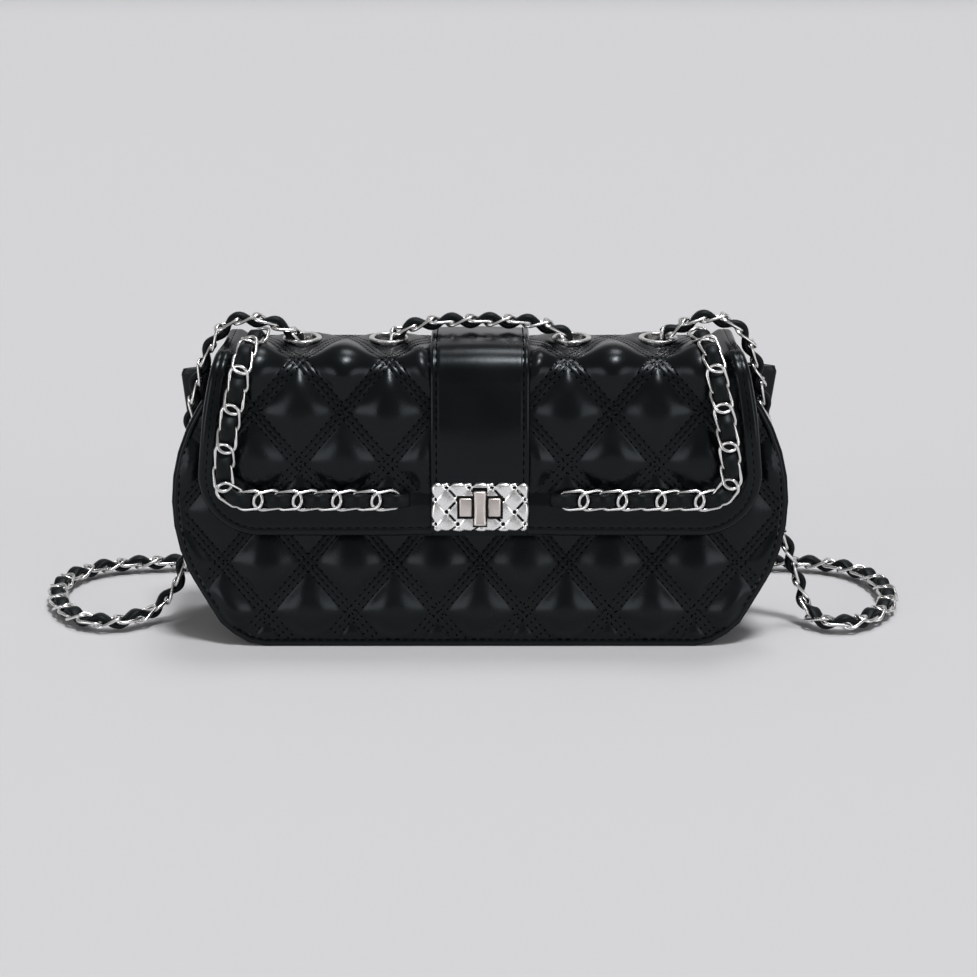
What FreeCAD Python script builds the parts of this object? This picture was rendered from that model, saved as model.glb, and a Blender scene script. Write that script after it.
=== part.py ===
import FreeCAD, Part
import Sketcher
import math
import os

from FreeCAD import Placement, Rotation, Vector

# Quilted flap bag on a chain strap, standing on its base.
# Millimetres, X to the viewer's right, Y towards the back, Z up; the origin is the middle of the base.

doc = FreeCAD.newDocument("ChainShoulderBag")
sheet = doc.addObject("Spreadsheet::Sheet", "sizes")
derived = doc.addObject("App::VarSet", "derived")

SIZES = (
    # body of the bag
    ("body_width", 250),
    ("widest_height", 60),
    ("base_draw_in", 34),
    ("shoulder_rise", 38),
    ("shoulder_draw_in", 11),
    ("base_depth", 74),
    ("front_lean", 5),
    ("back_lean", 9),
    ("panel_thickness", 5),
    ("mouth_gap", 7.5),
    ("seam_overhang", 5),
    ("gusset_thickness", 2),
    ("gusset_step", 1),
    ("base_thickness", 2.5),
    ("board_thickness", 1.6),
    ("board_margin", 2),
    ("lining_thickness", 0.8),
    ("lining_gap", 0.1),
    # quilting of the panels: diamonds between channels pressed into the padding
    ("quilt_width", 35),
    ("quilt_height", 41.8),
    ("quilt_crossing", 34.8),
    ("channel_half", 8.5),
    ("channel_depth", 2.8),
    ("channel_overrun", 1),
    ("seat_margin", 3),
    # folded ear at the upper end of each gusset
    ("ear_drop", 12),
    ("ear_rise", 8),
    ("ear_front", 2),
    ("ear_ridge", 9),
    ("ear_back", 14),
    ("ear_low_reach", 5),
    ("ear_high_reach", 18.5),
    ("ear_lean_in", 7),
    ("ear_thickness", 1.8),
    ("ear_gap", 0.3),
    # flap and the roll at its upper edge
    ("flap_gap", 0.6),
    ("flap_thickness", 4),
    ("flap_bottom", 47),
    ("flap_side_margin", 11.5),
    ("flap_draw_in", 4),
    ("flap_corner", 20),
    ("roll_radius", 7.5),
    ("roll_height", 108.5),
    # fixed top between the roll and the back panel
    ("top_side_margin", 5),
    ("top_slope", 5),
    ("top_gap", 0.8),
    ("crest_radius", 10),
    # plain leather over the quilting
    ("closure_width", 40),
    ("closure_thickness", 1.4),
    ("border_side", 11),
    ("border_bottom", 18.5),
    ("border_thickness", 1),
    ("border_corner", 8),
    # eyelets
    ("eyelet_diameter", 16),
    ("eyelet_bore", 11.5),
    ("eyelet_wall", 0.5),
    ("eyelet_rim", 1),
    ("eyelet_setback", 19.8),
    ("eyelet_inner_place", 37.6),
    ("eyelet_outer_place", 73),
    ("washer_diameter", 15),
    ("washer_thickness", 0.8),
    ("fit_clearance", 0.1),
    # turn lock
    ("lock_height", 59.4),
    ("plate_side_margin", 0.6),
    ("plate_height", 19.4),
    ("plate_thickness", 2),
    ("plate_corner", 2.6),
    ("liner_thickness", 0.6),
    ("liner_margin", 0.5),
    ("boss_width", 16.5),
    ("boss_height", 7.5),
    ("boss_rise", 0.6),
    ("boss_gap", 0.35),
    ("bar_width", 5),
    ("bar_length", 15),
    ("bar_thickness", 3),
    ("bar_round", 0.7),
    ("bar_gap", 0.4),
    ("slot_clearance", 0.7),
    ("window_inset", 5.4),
    ("window_margin", 0.5),
    ("post_diameter", 4.4),
    ("post_clearance", 0.1),
    ("socket_side_gap", 2),
    ("socket_height", 11),
    ("socket_thickness", 1.2),
    ("socket_rivet_inset", 2.5),
    ("backing_thickness", 0.8),
    ("rivet_diameter", 2),
    ("rivet_head", 3.4),
    ("rivet_head_rise", 0.6),
    ("clip_diameter", 7.6),
    ("clip_thickness", 0.8),
    ("clip_seat", 1.2),
    ("spring_thickness", 0.6),
    ("lock_bore_clearance", 0.8),
    ("plate_rivet_inset", 3),
    ("plate_rivet_rise", 6.6),
    ("plate_rivet_depth", 1.2),
    # chain and lace sewn on the flap
    ("trim_inset", 7.5),
    ("trim_rise", 15),
    ("trim_corner", 9),
    ("trim_end_gap", 9),
    ("lace_width", 5),
    ("lace_thickness", 0.8),
    ("link_wire", 1.5),
    ("link_width", 9),
    ("link_length", 11.4),
    ("link_pitch", 8),
    ("link_roll", 26),
    ("link_gap", 0.1),
    # chain strap, as a plain round tube
    ("strap_diameter", 9),
)

for row, (alias, number) in enumerate(SIZES, start=1):
    sheet.set(f"A{row}", alias.replace("_", " "))
    sheet.set(f"B{row}", str(number))
    sheet.setAlias(f"B{row}", alias)
doc.recompute()


class Size:
    """A number together with the expression on the sheet that gives it."""

    def __init__(self, value, text):
        self.value = value
        self.text = text

    def __add__(self, other):
        other = as_size(other)
        return Size(self.value + other.value, f"({self.text} + {other.text})")

    def __sub__(self, other):
        other = as_size(other)
        return Size(self.value - other.value, f"({self.text} - {other.text})")

    def __mul__(self, other):
        other = as_size(other)
        return Size(self.value * other.value, f"({self.text} * {other.text})")

    def __truediv__(self, other):
        other = as_size(other)
        return Size(self.value / other.value, f"({self.text} / {other.text})")

    def __neg__(self):
        return Size(-self.value, f"(-1 * {self.text})")


def as_size(number):
    """A plain number as a Size."""
    return number if isinstance(number, Size) else Size(float(number), str(float(number)))


def size(alias):
    """The named cell of the sheet."""
    return Size(float(getattr(sheet, alias)), f"sizes.{alias}")


def named(name, formula):
    """A worked-out size, kept in the document under its own name."""
    derived.addProperty("App::PropertyFloat", name)
    derived.setExpression(name, formula.text)
    return Size(formula.value, f"derived.{name}")


def sine(angle):
    return Size(math.sin(math.radians(angle.value)), f"sin({angle.text})")


def cosine(angle):
    return Size(math.cos(math.radians(angle.value)), f"cos({angle.text})")


def root(number):
    return Size(math.sqrt(number.value), f"sqrt({number.text})")


# Side outline of the body: two arcs a side that meet at the widest point, both centred at that height,
# and above the shoulder a straight run along the upper arc's tangent.
half_width = size("body_width") / 2
low_step = size("base_draw_in")
high_step = size("shoulder_draw_in")
high_rise = size("shoulder_rise")
widest = size("widest_height")
low_radius = named("low_radius", (low_step * low_step + widest * widest) / (low_step * 2))
high_radius = named("high_radius", (high_step * high_step + high_rise * high_rise) / (high_step * 2))
shoulder_sine = named("shoulder_sine", high_rise / high_radius)
shoulder_cosine = named("shoulder_cosine", (high_radius - high_step) / high_radius)


def shoulder_height(inset):
    """Height at which the upper arc, drawn in by inset, gives way to the straight run."""
    return widest + (high_radius - inset) * shoulder_sine


def outline_half(inset, height):
    """Half width of the body outline, drawn in by inset, at a height."""
    shoulder = shoulder_height(inset)
    if height.value > shoulder.value:
        side = half_width - high_radius + (high_radius - inset) * shoulder_cosine
        return side - (height - shoulder) * shoulder_sine / shoulder_cosine
    radius = low_radius if height.value <= widest.value else high_radius
    reach = radius - inset
    step = height - widest
    return half_width - radius + root(reach * reach - step * step)


# Widths across the front that follow from each other.
flap_half = named("flap_half", half_width - size("flap_side_margin"))
flap_top_half = named("flap_top_half", flap_half - size("flap_draw_in"))
closure_half = named("closure_half", size("closure_width") / 2)
plate_width = named("plate_width", size("closure_width") - size("plate_side_margin") * 2)
window_width = named("window_width", plate_width - size("window_inset") * 2)
socket_width = named("socket_width", window_width - size("socket_side_gap") * 2)
trim_inner_end = named("trim_inner_end", closure_half + size("trim_end_gap"))

# Heights that follow from the roll's.
panel_top = named("panel_top", size("roll_height") - size("mouth_gap"))
gusset_top = named("gusset_top", panel_top - size("gusset_step"))

# The front: distances out from the inner face of the front panel.
front_inner = named("front_inner", size("base_depth") / 2 - size("panel_thickness"))
panel_face = size("panel_thickness")
flap_back = named("flap_back", panel_face + size("flap_gap"))
flap_core = named("flap_core", flap_back + size("lining_thickness"))
flap_face = named("flap_face", flap_core + size("flap_thickness"))
closure_face = named("closure_face", flap_face + size("closure_thickness"))
liner_face = named("liner_face", closure_face + size("liner_thickness"))
plate_face = named("plate_face", liner_face + size("plate_thickness"))
boss_face = named("boss_face", plate_face + size("boss_rise"))
bar_back = named("bar_back", boss_face + size("bar_gap"))

# The roll at the flap's upper edge, and the top that slopes up behind it to the crest.
roll_centre = named("roll_centre", flap_back - size("roll_radius"))
roll_turn = named("roll_turn", as_size(90) - size("front_lean") - size("top_slope"))
lean_sine = sine(size("front_lean"))
lean_cosine = cosine(size("front_lean"))
slope_sine = sine(size("top_slope"))
slope_cosine = cosine(size("top_slope"))
back_sine = sine(size("back_lean"))
back_cosine = cosine(size("back_lean"))
roll_y = named("roll_y", size("roll_height") * lean_sine - roll_centre * lean_cosine - front_inner)
roll_z = named("roll_z", size("roll_height") * lean_cosine + roll_centre * lean_sine)
roll_outer = named("roll_outer", flap_face - roll_centre)
top_y = named("top_y", roll_y - roll_outer * slope_sine)
top_z = named("top_z", roll_z + roll_outer * slope_cosine)
crest_start_y = top_y + size("crest_radius") * slope_sine
crest_start_z = top_z - size("crest_radius") * slope_cosine
crest_short = (front_inner - crest_start_y) * back_cosine - crest_start_z * back_sine
crest_reach = crest_short + panel_face - size("crest_radius")
top_length = named(
    "top_length", crest_reach / (slope_cosine * back_cosine + slope_sine * back_sine)
)
crest_y = named("crest_y", crest_start_y + top_length * slope_cosine)
crest_z = named("crest_z", crest_start_z + top_length * slope_sine)
back_top = named("back_top", (front_inner - crest_y) * back_sine + crest_z * back_cosine)


def new_body(label):
    body = doc.addObject("PartDesign::Body", label)
    body.Label = label
    return body


def origin_plane(body, role):
    return next(item for item in body.Origin.OriginFeatures if item.Role == role)


def arc_between(start, end, radius, left_turn):
    """Arc of less than a half circle from start to end, as sketches hold it: always counter-clockwise."""
    first, last = (start, end) if left_turn else (end, start)
    chord = last - first
    rise = math.sqrt(radius ** 2 - (chord.Length / 2) ** 2)
    side = Vector(-chord.y, chord.x, 0).normalize()
    centre = first + chord * 0.5 + side * rise
    begin = math.atan2(first.y - centre.y, first.x - centre.x)
    finish = math.atan2(last.y - centre.y, last.x - centre.x)
    return Part.ArcOfCircle(Part.Circle(centre, Vector(0, 0, 1), radius), begin, finish)


def pin_point(sketch, geometry, vertex, x, y):
    """Hold one end of a line or arc, or a circle's centre, at a place on the sheet."""
    for kind, place in (("DistanceX", x), ("DistanceY", y)):
        index = sketch.addConstraint(Sketcher.Constraint(kind, -1, 1, geometry, vertex, place.value))
        sketch.setExpression(f"Constraints[{index}]", place.text)


def add_loop(sketch, corners):
    """Closed outline. A corner is (x, y), or (x, y, radius, left) where an arc leads up to it."""
    corners = [(as_size(corner[0]), as_size(corner[1])) + tuple(corner[2:]) for corner in corners]
    ends = []
    for before, corner in zip([corners[-1]] + corners[:-1], corners):
        start = Vector(before[0].value, before[1].value, 0)
        end = Vector(corner[0].value, corner[1].value, 0)
        if len(corner) == 2:
            geometry = sketch.addGeometry(Part.LineSegment(start, end))
            ends.append((geometry, 1, 2))
            continue
        radius = as_size(corner[2])
        geometry = sketch.addGeometry(arc_between(start, end, radius.value, corner[3]))
        ends.append((geometry, 1, 2) if corner[3] else (geometry, 2, 1))
        index = sketch.addConstraint(Sketcher.Constraint("Radius", geometry, radius.value))
        sketch.setExpression(f"Constraints[{index}]", radius.text)
    for (geometry, _, finish), following, corner in zip(ends, ends[1:] + ends[:1], corners):
        sketch.addConstraint(Sketcher.Constraint("Coincident", geometry, finish, following[0], following[1]))
        pin_point(sketch, geometry, finish, corner[0], corner[1])


def add_circle(sketch, x, y, diameter):
    diameter = as_size(diameter)
    circle = Part.Circle(Vector(as_size(x).value, as_size(y).value, 0), Vector(0, 0, 1), diameter.value / 2)
    geometry = sketch.addGeometry(circle)
    pin_point(sketch, geometry, 3, as_size(x), as_size(y))
    index = sketch.addConstraint(Sketcher.Constraint("Diameter", geometry, diameter.value))
    sketch.setExpression(f"Constraints[{index}]", diameter.text)


def add_sketch(body, role, loops=(), circles=(), lift=None):
    """Sketch on one of the body's own planes, lift above it where given."""
    sketch = body.newObject("Sketcher::SketchObject", f"{body.Label}_sketch")
    sketch.AttachmentSupport = [(origin_plane(body, role), "")]
    sketch.MapMode = "FlatFace"
    if lift is not None:
        sketch.AttachmentOffset = Placement(Vector(0, 0, lift.value), Rotation())
        sketch.setExpression("AttachmentOffset.Base.z", lift.text)
    for corners in loops:
        add_loop(sketch, corners)
    for circle in circles:
        add_circle(sketch, *circle)
    doc.recompute()
    return sketch


def add_pad(body, sketch, length, reverse=False, both_ways=False):
    pad = body.newObject("PartDesign::Pad", f"{body.Label}_pad")
    pad.Profile = sketch
    length = as_size(length)
    pad.Length = length.value
    pad.setExpression("Length", length.text)
    pad.Reversed = reverse
    if both_ways:
        pad.SideType = "Symmetric"
    doc.recompute()
    return pad


def add_pocket(body, sketch, length, reverse=False, both_ways=False):
    """Pocket that has to take material away."""
    before = body.Shape.Volume
    pocket = body.newObject("PartDesign::Pocket", f"{body.Label}_pocket")
    pocket.Profile = sketch
    length = as_size(length)
    pocket.Length = length.value
    pocket.setExpression("Length", length.text)
    pocket.Reversed = reverse
    if both_ways:
        pocket.SideType = "Symmetric"
    doc.recompute()
    if not body.Shape.Volume < before - 0.01:
        raise RuntimeError(f"{body.Label}: the pocket cuts nothing")
    return pocket


def rectangle(width, height, x=0, y=0):
    width = as_size(width)
    height = as_size(height)
    left = as_size(x) - width / 2
    right = as_size(x) + width / 2
    low = as_size(y) - height / 2
    high = as_size(y) + height / 2
    return [(left, low), (right, low), (right, high), (left, high)]


def rounded_rectangle(width, height, radius, x=0, y=0):
    (left, low), (right, _), (_, high), _ = rectangle(width, height, x, y)
    return [
        (right - radius, low), (right, low + radius, radius, True),
        (right, high - radius), (right - radius, high, radius, True),
        (left + radius, high), (left, high - radius, radius, True),
        (left, low + radius), (left + radius, low, radius, True),
    ]


def stand_front(body, outward):
    """Set a body on the leaning front, outward from the front panel's inner face."""
    outward = as_size(outward)
    y = -(front_inner + outward * lean_cosine)
    z = outward * lean_sine
    lean = Rotation(Vector(-1, 0, 0), size("front_lean").value)
    body.Placement = Placement(Vector(0, y.value, z.value), lean)
    body.setExpression("Placement.Base.y", y.text)
    body.setExpression("Placement.Base.z", z.text)
    body.setExpression("Placement.Rotation.Angle", size("front_lean").text)


def stand_back(body):
    """Set a body on the leaning back."""
    angle = size("back_lean")
    body.Placement = Placement(Vector(0, front_inner.value, 0), Rotation(Vector(1, 0, 0), angle.value))
    body.setExpression("Placement.Base.y", front_inner.text)
    body.setExpression("Placement.Rotation.Angle", angle.text)


def stand_top(body):
    """Set a body on the sloping top, with its outer face at local height 0."""
    angle = size("top_slope")
    body.Placement = Placement(Vector(0, top_y.value, top_z.value), Rotation(Vector(1, 0, 0), angle.value))
    body.setExpression("Placement.Base.y", top_y.text)
    body.setExpression("Placement.Base.z", top_z.text)
    body.setExpression("Placement.Rotation.Angle", angle.text)


def side_points(inset, low, high):
    """Right side of the outline from low to high: places, each with the radius of any arc up to it."""
    points = [
        (outline_half(inset, low), low, None),
        (half_width - inset, widest, low_radius - inset),
    ]
    shoulder = shoulder_height(inset)
    arc_end = shoulder if high.value > shoulder.value else high
    points.append((outline_half(inset, arc_end), arc_end, high_radius - inset))
    if high.value > shoulder.value:
        points.append((outline_half(inset, high), high, None))
    return points


def side_corner(x, height, radius, side, left_turn):
    """Corner of a loop on the right (side 1) or the left (side -1)."""
    return (x * side, height) if radius is None else (x * side, height, radius, left_turn)


def climb(points, side):
    """A side's points as corners, upward."""
    return [side_corner(x, height, radius, side, side > 0) for x, height, radius in points]


def descend(points, side):
    """A side's points as corners, downward."""
    downward = points[::-1]
    radii = [None] + [radius for _, _, radius in downward[:-1]]
    return [
        side_corner(x, height, radius, side, side < 0)
        for (x, height, _), radius in zip(downward, radii)
    ]


def body_outline(inset, low, high):
    """Outline of the bag seen from the front, drawn in by inset."""
    points = side_points(as_size(inset), as_size(low), as_size(high))
    return climb(points, 1) + descend(points, -1)


def sector(centre_x, centre_y, inner, outer, start, finish):
    """Ring sector in a sketch, from the start angle down to the finish angle."""
    def at(radius, angle):
        return (centre_x + radius * cosine(angle), centre_y + radius * sine(angle))
    return [
        at(outer, start),
        at(outer, finish) + (outer, False),
        at(inner, finish),
        at(inner, start) + (inner, True),
    ]


pieces = []


def keep(item):
    """Count an object of the document as a piece of the bag."""
    pieces.append(item)
    return item


def join(kind, label, base, tool):
    """Boolean of two objects, as an object of its own."""
    item = doc.addObject(kind, label)
    item.Label = label
    item.Base = base
    item.Tool = tool
    doc.recompute()
    return item


def quilt_panel(body, top, outward):
    """Press two slanted sets of channels into a panel, outward 1 towards the back or -1 towards the front."""
    wide = size("quilt_width")
    tall = size("quilt_height")
    slant = root(wide * wide + tall * tall)
    spacing = wide * tall / slant
    floor = (panel_face - size("channel_depth")) * outward
    rim = (panel_face + size("channel_overrun")) * outward
    half = size("channel_half") * (size("channel_depth") + size("channel_overrun")) / size("channel_depth")
    for side in (-1, 1):
        angle = Size(
            math.degrees(math.atan(wide.value / tall.value)) * side,
            f"(atan({wide.text} / {tall.text}) * {side})",
        )
        shift = size("quilt_crossing") * wide / slant * -side
        reach = (half_width * tall + as_size(top) * wide) / slant
        count = int(reach.value / spacing.value) + 1
        loops = []
        for line in range(-count, count + 1):
            middle = spacing * line + shift
            loops.append([(middle - half, rim), (middle, floor), (middle + half, rim)])
        sketch = add_sketch(body, "XY_Plane", loops)
        sketch.AttachmentOffset = Placement(Vector(), Rotation(Vector(0, 1, 0), angle.value))
        sketch.setExpression("AttachmentOffset.Rotation.Angle", angle.text)
        doc.recompute()
        add_pocket(body, sketch, size("body_width") * 3, both_ways=True)


# Front panel, quilted, with the bore and rivet holes of the turn lock on a level seat and a recess for its
# backing plate
lock_height = size("lock_height")
bore = named("lock_bore", size("clip_diameter") + size("lock_bore_clearance"))
rivet_hole = size("rivet_diameter") + size("fit_clearance")
socket_rivet_place = socket_width / 2 - size("socket_rivet_inset")
socket_rivets = [(socket_rivet_place * side, lock_height) for side in (-1, 1)]
socket_holes = [(x, y, rivet_hole) for x, y in socket_rivets]
front_panel = keep(new_body("front_panel"))
front_sketch = add_sketch(
    front_panel, "XZ_Plane", [body_outline(0, 0, panel_top)],
    socket_holes + [(0, lock_height, bore)],
)
add_pad(front_panel, front_sketch, panel_face)
quilt_panel(front_panel, panel_top, -1)
seat_floor = named("seat_floor", panel_face - size("channel_depth"))
seat_width = socket_width + size("seat_margin") * 2
seat_height = size("socket_height") + size("seat_margin") * 2
level_sketch = add_sketch(
    front_panel, "XZ_Plane", [rectangle(seat_width, seat_height, 0, lock_height)],
    socket_holes + [(0, lock_height, bore)], lift=seat_floor,
)
add_pad(front_panel, level_sketch, size("channel_depth"))
seat_sketch = add_sketch(
    front_panel, "XZ_Plane",
    [
        rectangle(
            socket_width + size("fit_clearance"), size("socket_height") + size("fit_clearance"), 0, lock_height,
        ),
    ],
)
add_pocket(front_panel, seat_sketch, size("backing_thickness"), reverse=True)
stand_front(front_panel, 0)

# Back panel, up to the crest
back_panel = keep(new_body("back_panel"))
add_pad(
    back_panel, add_sketch(back_panel, "XZ_Plane", [body_outline(0, 0, back_top)]), panel_face, reverse=True
)
quilt_panel(back_panel, back_top, 1)
stand_back(back_panel)


def depth_prism(label, inset, low, high):
    """Space between the two panels' inner faces, drawn in by inset, right across the bag."""
    inset = as_size(inset)
    low = as_size(low)
    high = as_size(high)
    front_slope = lean_sine / lean_cosine
    back_slope = back_sine / back_cosine
    front = inset / lean_cosine - front_inner
    back = front_inner - inset / back_cosine
    body = new_body(label)
    corners = [
        (front + low * front_slope, low), (back - low * back_slope, low),
        (back - high * back_slope, high), (front + high * front_slope, high),
    ]
    add_pad(body, add_sketch(body, "YZ_Plane", [corners]), size("body_width"), both_ways=True)
    return body


# Gussets: the two side strips between the panels, set in from their edges
gusset_outer = size("seam_overhang")
gusset_inner = named("gusset_inner", gusset_outer + size("gusset_thickness"))
side_space = depth_prism("side_space", 0, 0, gusset_top)


def gusset_strip(label, side):
    """Strip that follows the body outline on one side, wider than the bag is deep."""
    outer = side_points(gusset_outer, as_size(0), gusset_top)
    inner = side_points(gusset_inner, as_size(0), gusset_top)
    corners = climb(outer, side) + descend(inner, side)
    body = new_body(label)
    add_pad(body, add_sketch(body, "XZ_Plane", [corners]), size("base_depth"), both_ways=True)
    return body


for name, side in (("left_gusset", -1), ("right_gusset", 1)):
    keep(join("Part::Common", name, gusset_strip(f"{name}_strip", side), side_space))


def gusset_ear(label, side):
    """Folded ear that stands out of the side above the gusset, drawn in towards its lower end."""
    body = new_body(label)
    thick = size("ear_thickness")
    ear_bottom = gusset_top - size("ear_drop")
    ear_top = gusset_top + size("ear_rise")
    sections = []
    levels = (
        (ear_bottom, as_size(0), size("ear_low_reach")),
        (ear_top, size("ear_lean_in"), size("ear_high_reach")),
    )
    foot = outline_half(gusset_outer, ear_bottom) + size("ear_gap")
    for height, lean_in, reach in levels:
        seam = (foot - lean_in) * side
        tip = (foot - lean_in + reach) * side
        fold = (foot - lean_in + reach - thick) * side
        corners = [
            (seam, size("ear_front")), (tip, size("ear_ridge")), (seam, size("ear_back")),
            (seam, size("ear_back") - thick), (fold, size("ear_ridge")), (seam, size("ear_front") + thick),
        ]
        sections.append(add_sketch(body, "XY_Plane", [corners], lift=height))
    loft = body.newObject("PartDesign::AdditiveLoft", f"{label}_loft")
    loft.Profile = sections[0]
    loft.Sections = sections[1:]
    loft.Ruled = True
    doc.recompute()
    return body


for name, side in (("left_gusset_ear", -1), ("right_gusset_ear", 1)):
    keep(gusset_ear(name, side))

# Base panel between the gussets' feet, and the stiffening board on it
base_half = outline_half(gusset_inner, as_size(0))
base_panel = keep(new_body("base_panel"))
base_sketch = add_sketch(
    base_panel, "YZ_Plane",
    [[
        (-front_inner, 0), (front_inner, 0),
        (front_inner - size("base_thickness") * back_sine / back_cosine, size("base_thickness")),
        (size("base_thickness") * lean_sine / lean_cosine - front_inner, size("base_thickness")),
    ]],
)
add_pad(base_panel, base_sketch, base_half * 2, both_ways=True)

board_top = named("board_top", size("base_thickness") + size("board_thickness"))
base_board = keep(new_body("base_board"))
board_depth = front_inner - board_top * back_sine / back_cosine - size("board_margin")
board_sketch = add_sketch(
    base_board, "XY_Plane",
    [rectangle(base_half * 2, board_depth * 2)],
    lift=size("base_thickness"),
)
add_pad(base_board, board_sketch, size("board_thickness"))


def inner_block(label, inset, depth_inset, low, high):
    """Solid block of the bag's inside, drawn in by the insets."""
    prism = depth_prism(f"{label}_depth", depth_inset, low, high)
    plan = new_body(f"{label}_plan")
    outline = add_sketch(plan, "XZ_Plane", [body_outline(inset, low, high)])
    add_pad(plan, outline, size("base_depth"), both_ways=True)
    return join("Part::Common", label, plan, prism)


# Lining: a thin bag that stands on the board and follows the walls
lining_wall = size("lining_thickness")
lining_gap = size("lining_gap")
lining_inside = lining_gap + lining_wall
lining_outer = inner_block("lining_outside", gusset_inner + lining_gap, lining_gap, board_top, gusset_top)
lining_space = inner_block(
    "lining_space", gusset_inner + lining_inside, lining_inside, board_top + lining_wall, gusset_top,
)
keep(join("Part::Cut", "lining", lining_outer, lining_space))

# Fixed top: the quilted top with its crest, and the lining below it
top_width = named("top_width", flap_top_half * 2 - size("top_side_margin") * 2)
eyelet_hole = named("eyelet_hole", size("eyelet_bore") + size("eyelet_wall") * 2 + size("fit_clearance"))
eyelet_places = [
    size("eyelet_outer_place") * -1, size("eyelet_inner_place") * -1,
    size("eyelet_inner_place"), size("eyelet_outer_place"),
]
eyelet_y = size("eyelet_setback")
eyelet_circles = [(x, eyelet_y, eyelet_hole) for x in eyelet_places]
crest_end = named("crest_end", size("back_lean") - size("top_slope"))


def top_layer(label, outside, thickness):
    """One layer of the top and crest, its outer face outside below the top."""
    thickness = as_size(thickness)
    outside = as_size(outside)
    body = new_body(label)
    corners = [
        (top_width / -2, size("top_gap")), (top_width / 2, size("top_gap")),
        (top_width / 2, top_length), (top_width / -2, top_length),
    ]
    flat = add_sketch(body, "XY_Plane", [corners], eyelet_circles, lift=-(outside + thickness))
    add_pad(body, flat, thickness)
    outer = size("crest_radius") - outside
    crest = add_sketch(
        body, "YZ_Plane",
        [sector(top_length, -size("crest_radius"), outer - thickness, outer, as_size(90), crest_end)],
    )
    add_pad(body, crest, top_width, both_ways=True)
    stand_top(body)
    return body


keep(top_layer("top_panel", 0, size("flap_thickness")))
keep(top_layer("top_lining", size("flap_thickness"), lining_wall))

closure_top = keep(new_body("closure_strap_top"))
closure_top_sketch = add_sketch(
    closure_top, "XY_Plane",
    [[
        (-closure_half, size("top_gap")), (closure_half, size("top_gap")),
        (closure_half, top_length), (-closure_half, top_length),
    ]],
)
add_pad(closure_top, closure_top_sketch, size("closure_thickness"))
stand_top(closure_top)

# Eyelets: a flanged barrel through the top, and a washer that it is set over below
barrel_bottom = named(
    "barrel_bottom", size("flap_thickness") + lining_wall + size("washer_thickness")
)
barrel_radius = size("eyelet_bore") / 2 + size("eyelet_wall")
eyelet = new_body("eyelet_pattern")
eyelet_profile = [
    (size("eyelet_bore") / 2, -barrel_bottom), (barrel_radius, -barrel_bottom),
    (barrel_radius, 0), (size("eyelet_diameter") / 2, 0),
    (size("eyelet_diameter") / 2, size("eyelet_rim") / 2),
    (size("eyelet_diameter") / 2 - size("eyelet_rim") / 2, size("eyelet_rim"), size("eyelet_rim") / 2, True),
    (size("eyelet_bore") / 2 + size("eyelet_rim") / 2, size("eyelet_rim")),
    (size("eyelet_bore") / 2, size("eyelet_rim") / 2, size("eyelet_rim") / 2, True),
]
eyelet_turn = eyelet.newObject("PartDesign::Revolution", "eyelet_turn")
eyelet_turn.Profile = add_sketch(eyelet, "XZ_Plane", [eyelet_profile])
eyelet_turn.ReferenceAxis = (origin_plane(eyelet, "Z_Axis"), [""])
eyelet_turn.Angle = 360
washer = new_body("washer_pattern")
washer_hole = barrel_radius * 2 + size("fit_clearance")
washer_sketch = add_sketch(
    washer, "XY_Plane", (), [(0, 0, size("washer_diameter")), (0, 0, washer_hole)], lift=-barrel_bottom,
)
add_pad(washer, washer_sketch, size("washer_thickness"))
doc.recompute()


def top_set(label, pattern):
    """The same piece at each of the four eyelet places, as one object of separate solids."""
    tilt = Rotation(Vector(1, 0, 0), size("top_slope").value)
    copies = []
    for place in eyelet_places:
        spot = Vector(place.value, eyelet_y.value, 0)
        copy = pattern.Shape.copy()
        copy.Placement = Placement(Vector(0, top_y.value, top_z.value), tilt) * Placement(spot, Rotation())
        copies.append(copy)
    item = doc.addObject("Part::Feature", label)
    item.Label = label
    item.Shape = Part.makeCompound(copies)
    return item


keep(top_set("eyelets", eyelet))
keep(top_set("eyelet_washers", washer))

# Flap layers: a flat front with rounded lower corners, and the roll at its upper edge
flap_low = size("flap_bottom")
flap_corner = size("flap_corner")
roll_height = size("roll_height")
slot_width = named("slot_width", size("bar_width") + size("slot_clearance") * 2)
slot_height = named("slot_height", size("bar_length") + size("slot_clearance") * 2)
window = rectangle(
    window_width, slot_height + size("window_margin") * 2, 0, lock_height,
)
plate_rivet_side = plate_width / 2 - size("plate_rivet_inset")
plate_rivets = [
    (plate_rivet_side * across, lock_height + size("plate_rivet_rise") * up)
    for across in (-1, 1) for up in (-1, 1)
]
plate_rivet_holes = [(x, y, rivet_hole) for x, y in plate_rivets]
flap_outline = [
    (flap_half - flap_corner, flap_low),
    (flap_half, flap_low + flap_corner, flap_corner, True),
    (flap_top_half, roll_height), (-flap_top_half, roll_height),
    (-flap_half, flap_low + flap_corner),
    (flap_corner - flap_half, flap_low, flap_corner, True),
]


def flap_layer(label, inside, thickness, outline, width, holes=()):
    """One layer of the flap, with its part of the roll."""
    inside = as_size(inside)
    thickness = as_size(thickness)
    body = new_body(label)
    add_pad(body, add_sketch(body, "XZ_Plane", [outline, window], holes), thickness)
    inner = inside - roll_centre
    arc = add_sketch(
        body, "YZ_Plane",
        [sector(inner, roll_height, inner, inner + thickness, as_size(180), as_size(180) - roll_turn)],
    )
    add_pad(body, arc, width, both_ways=True)
    stand_front(body, inside)
    return body


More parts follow.
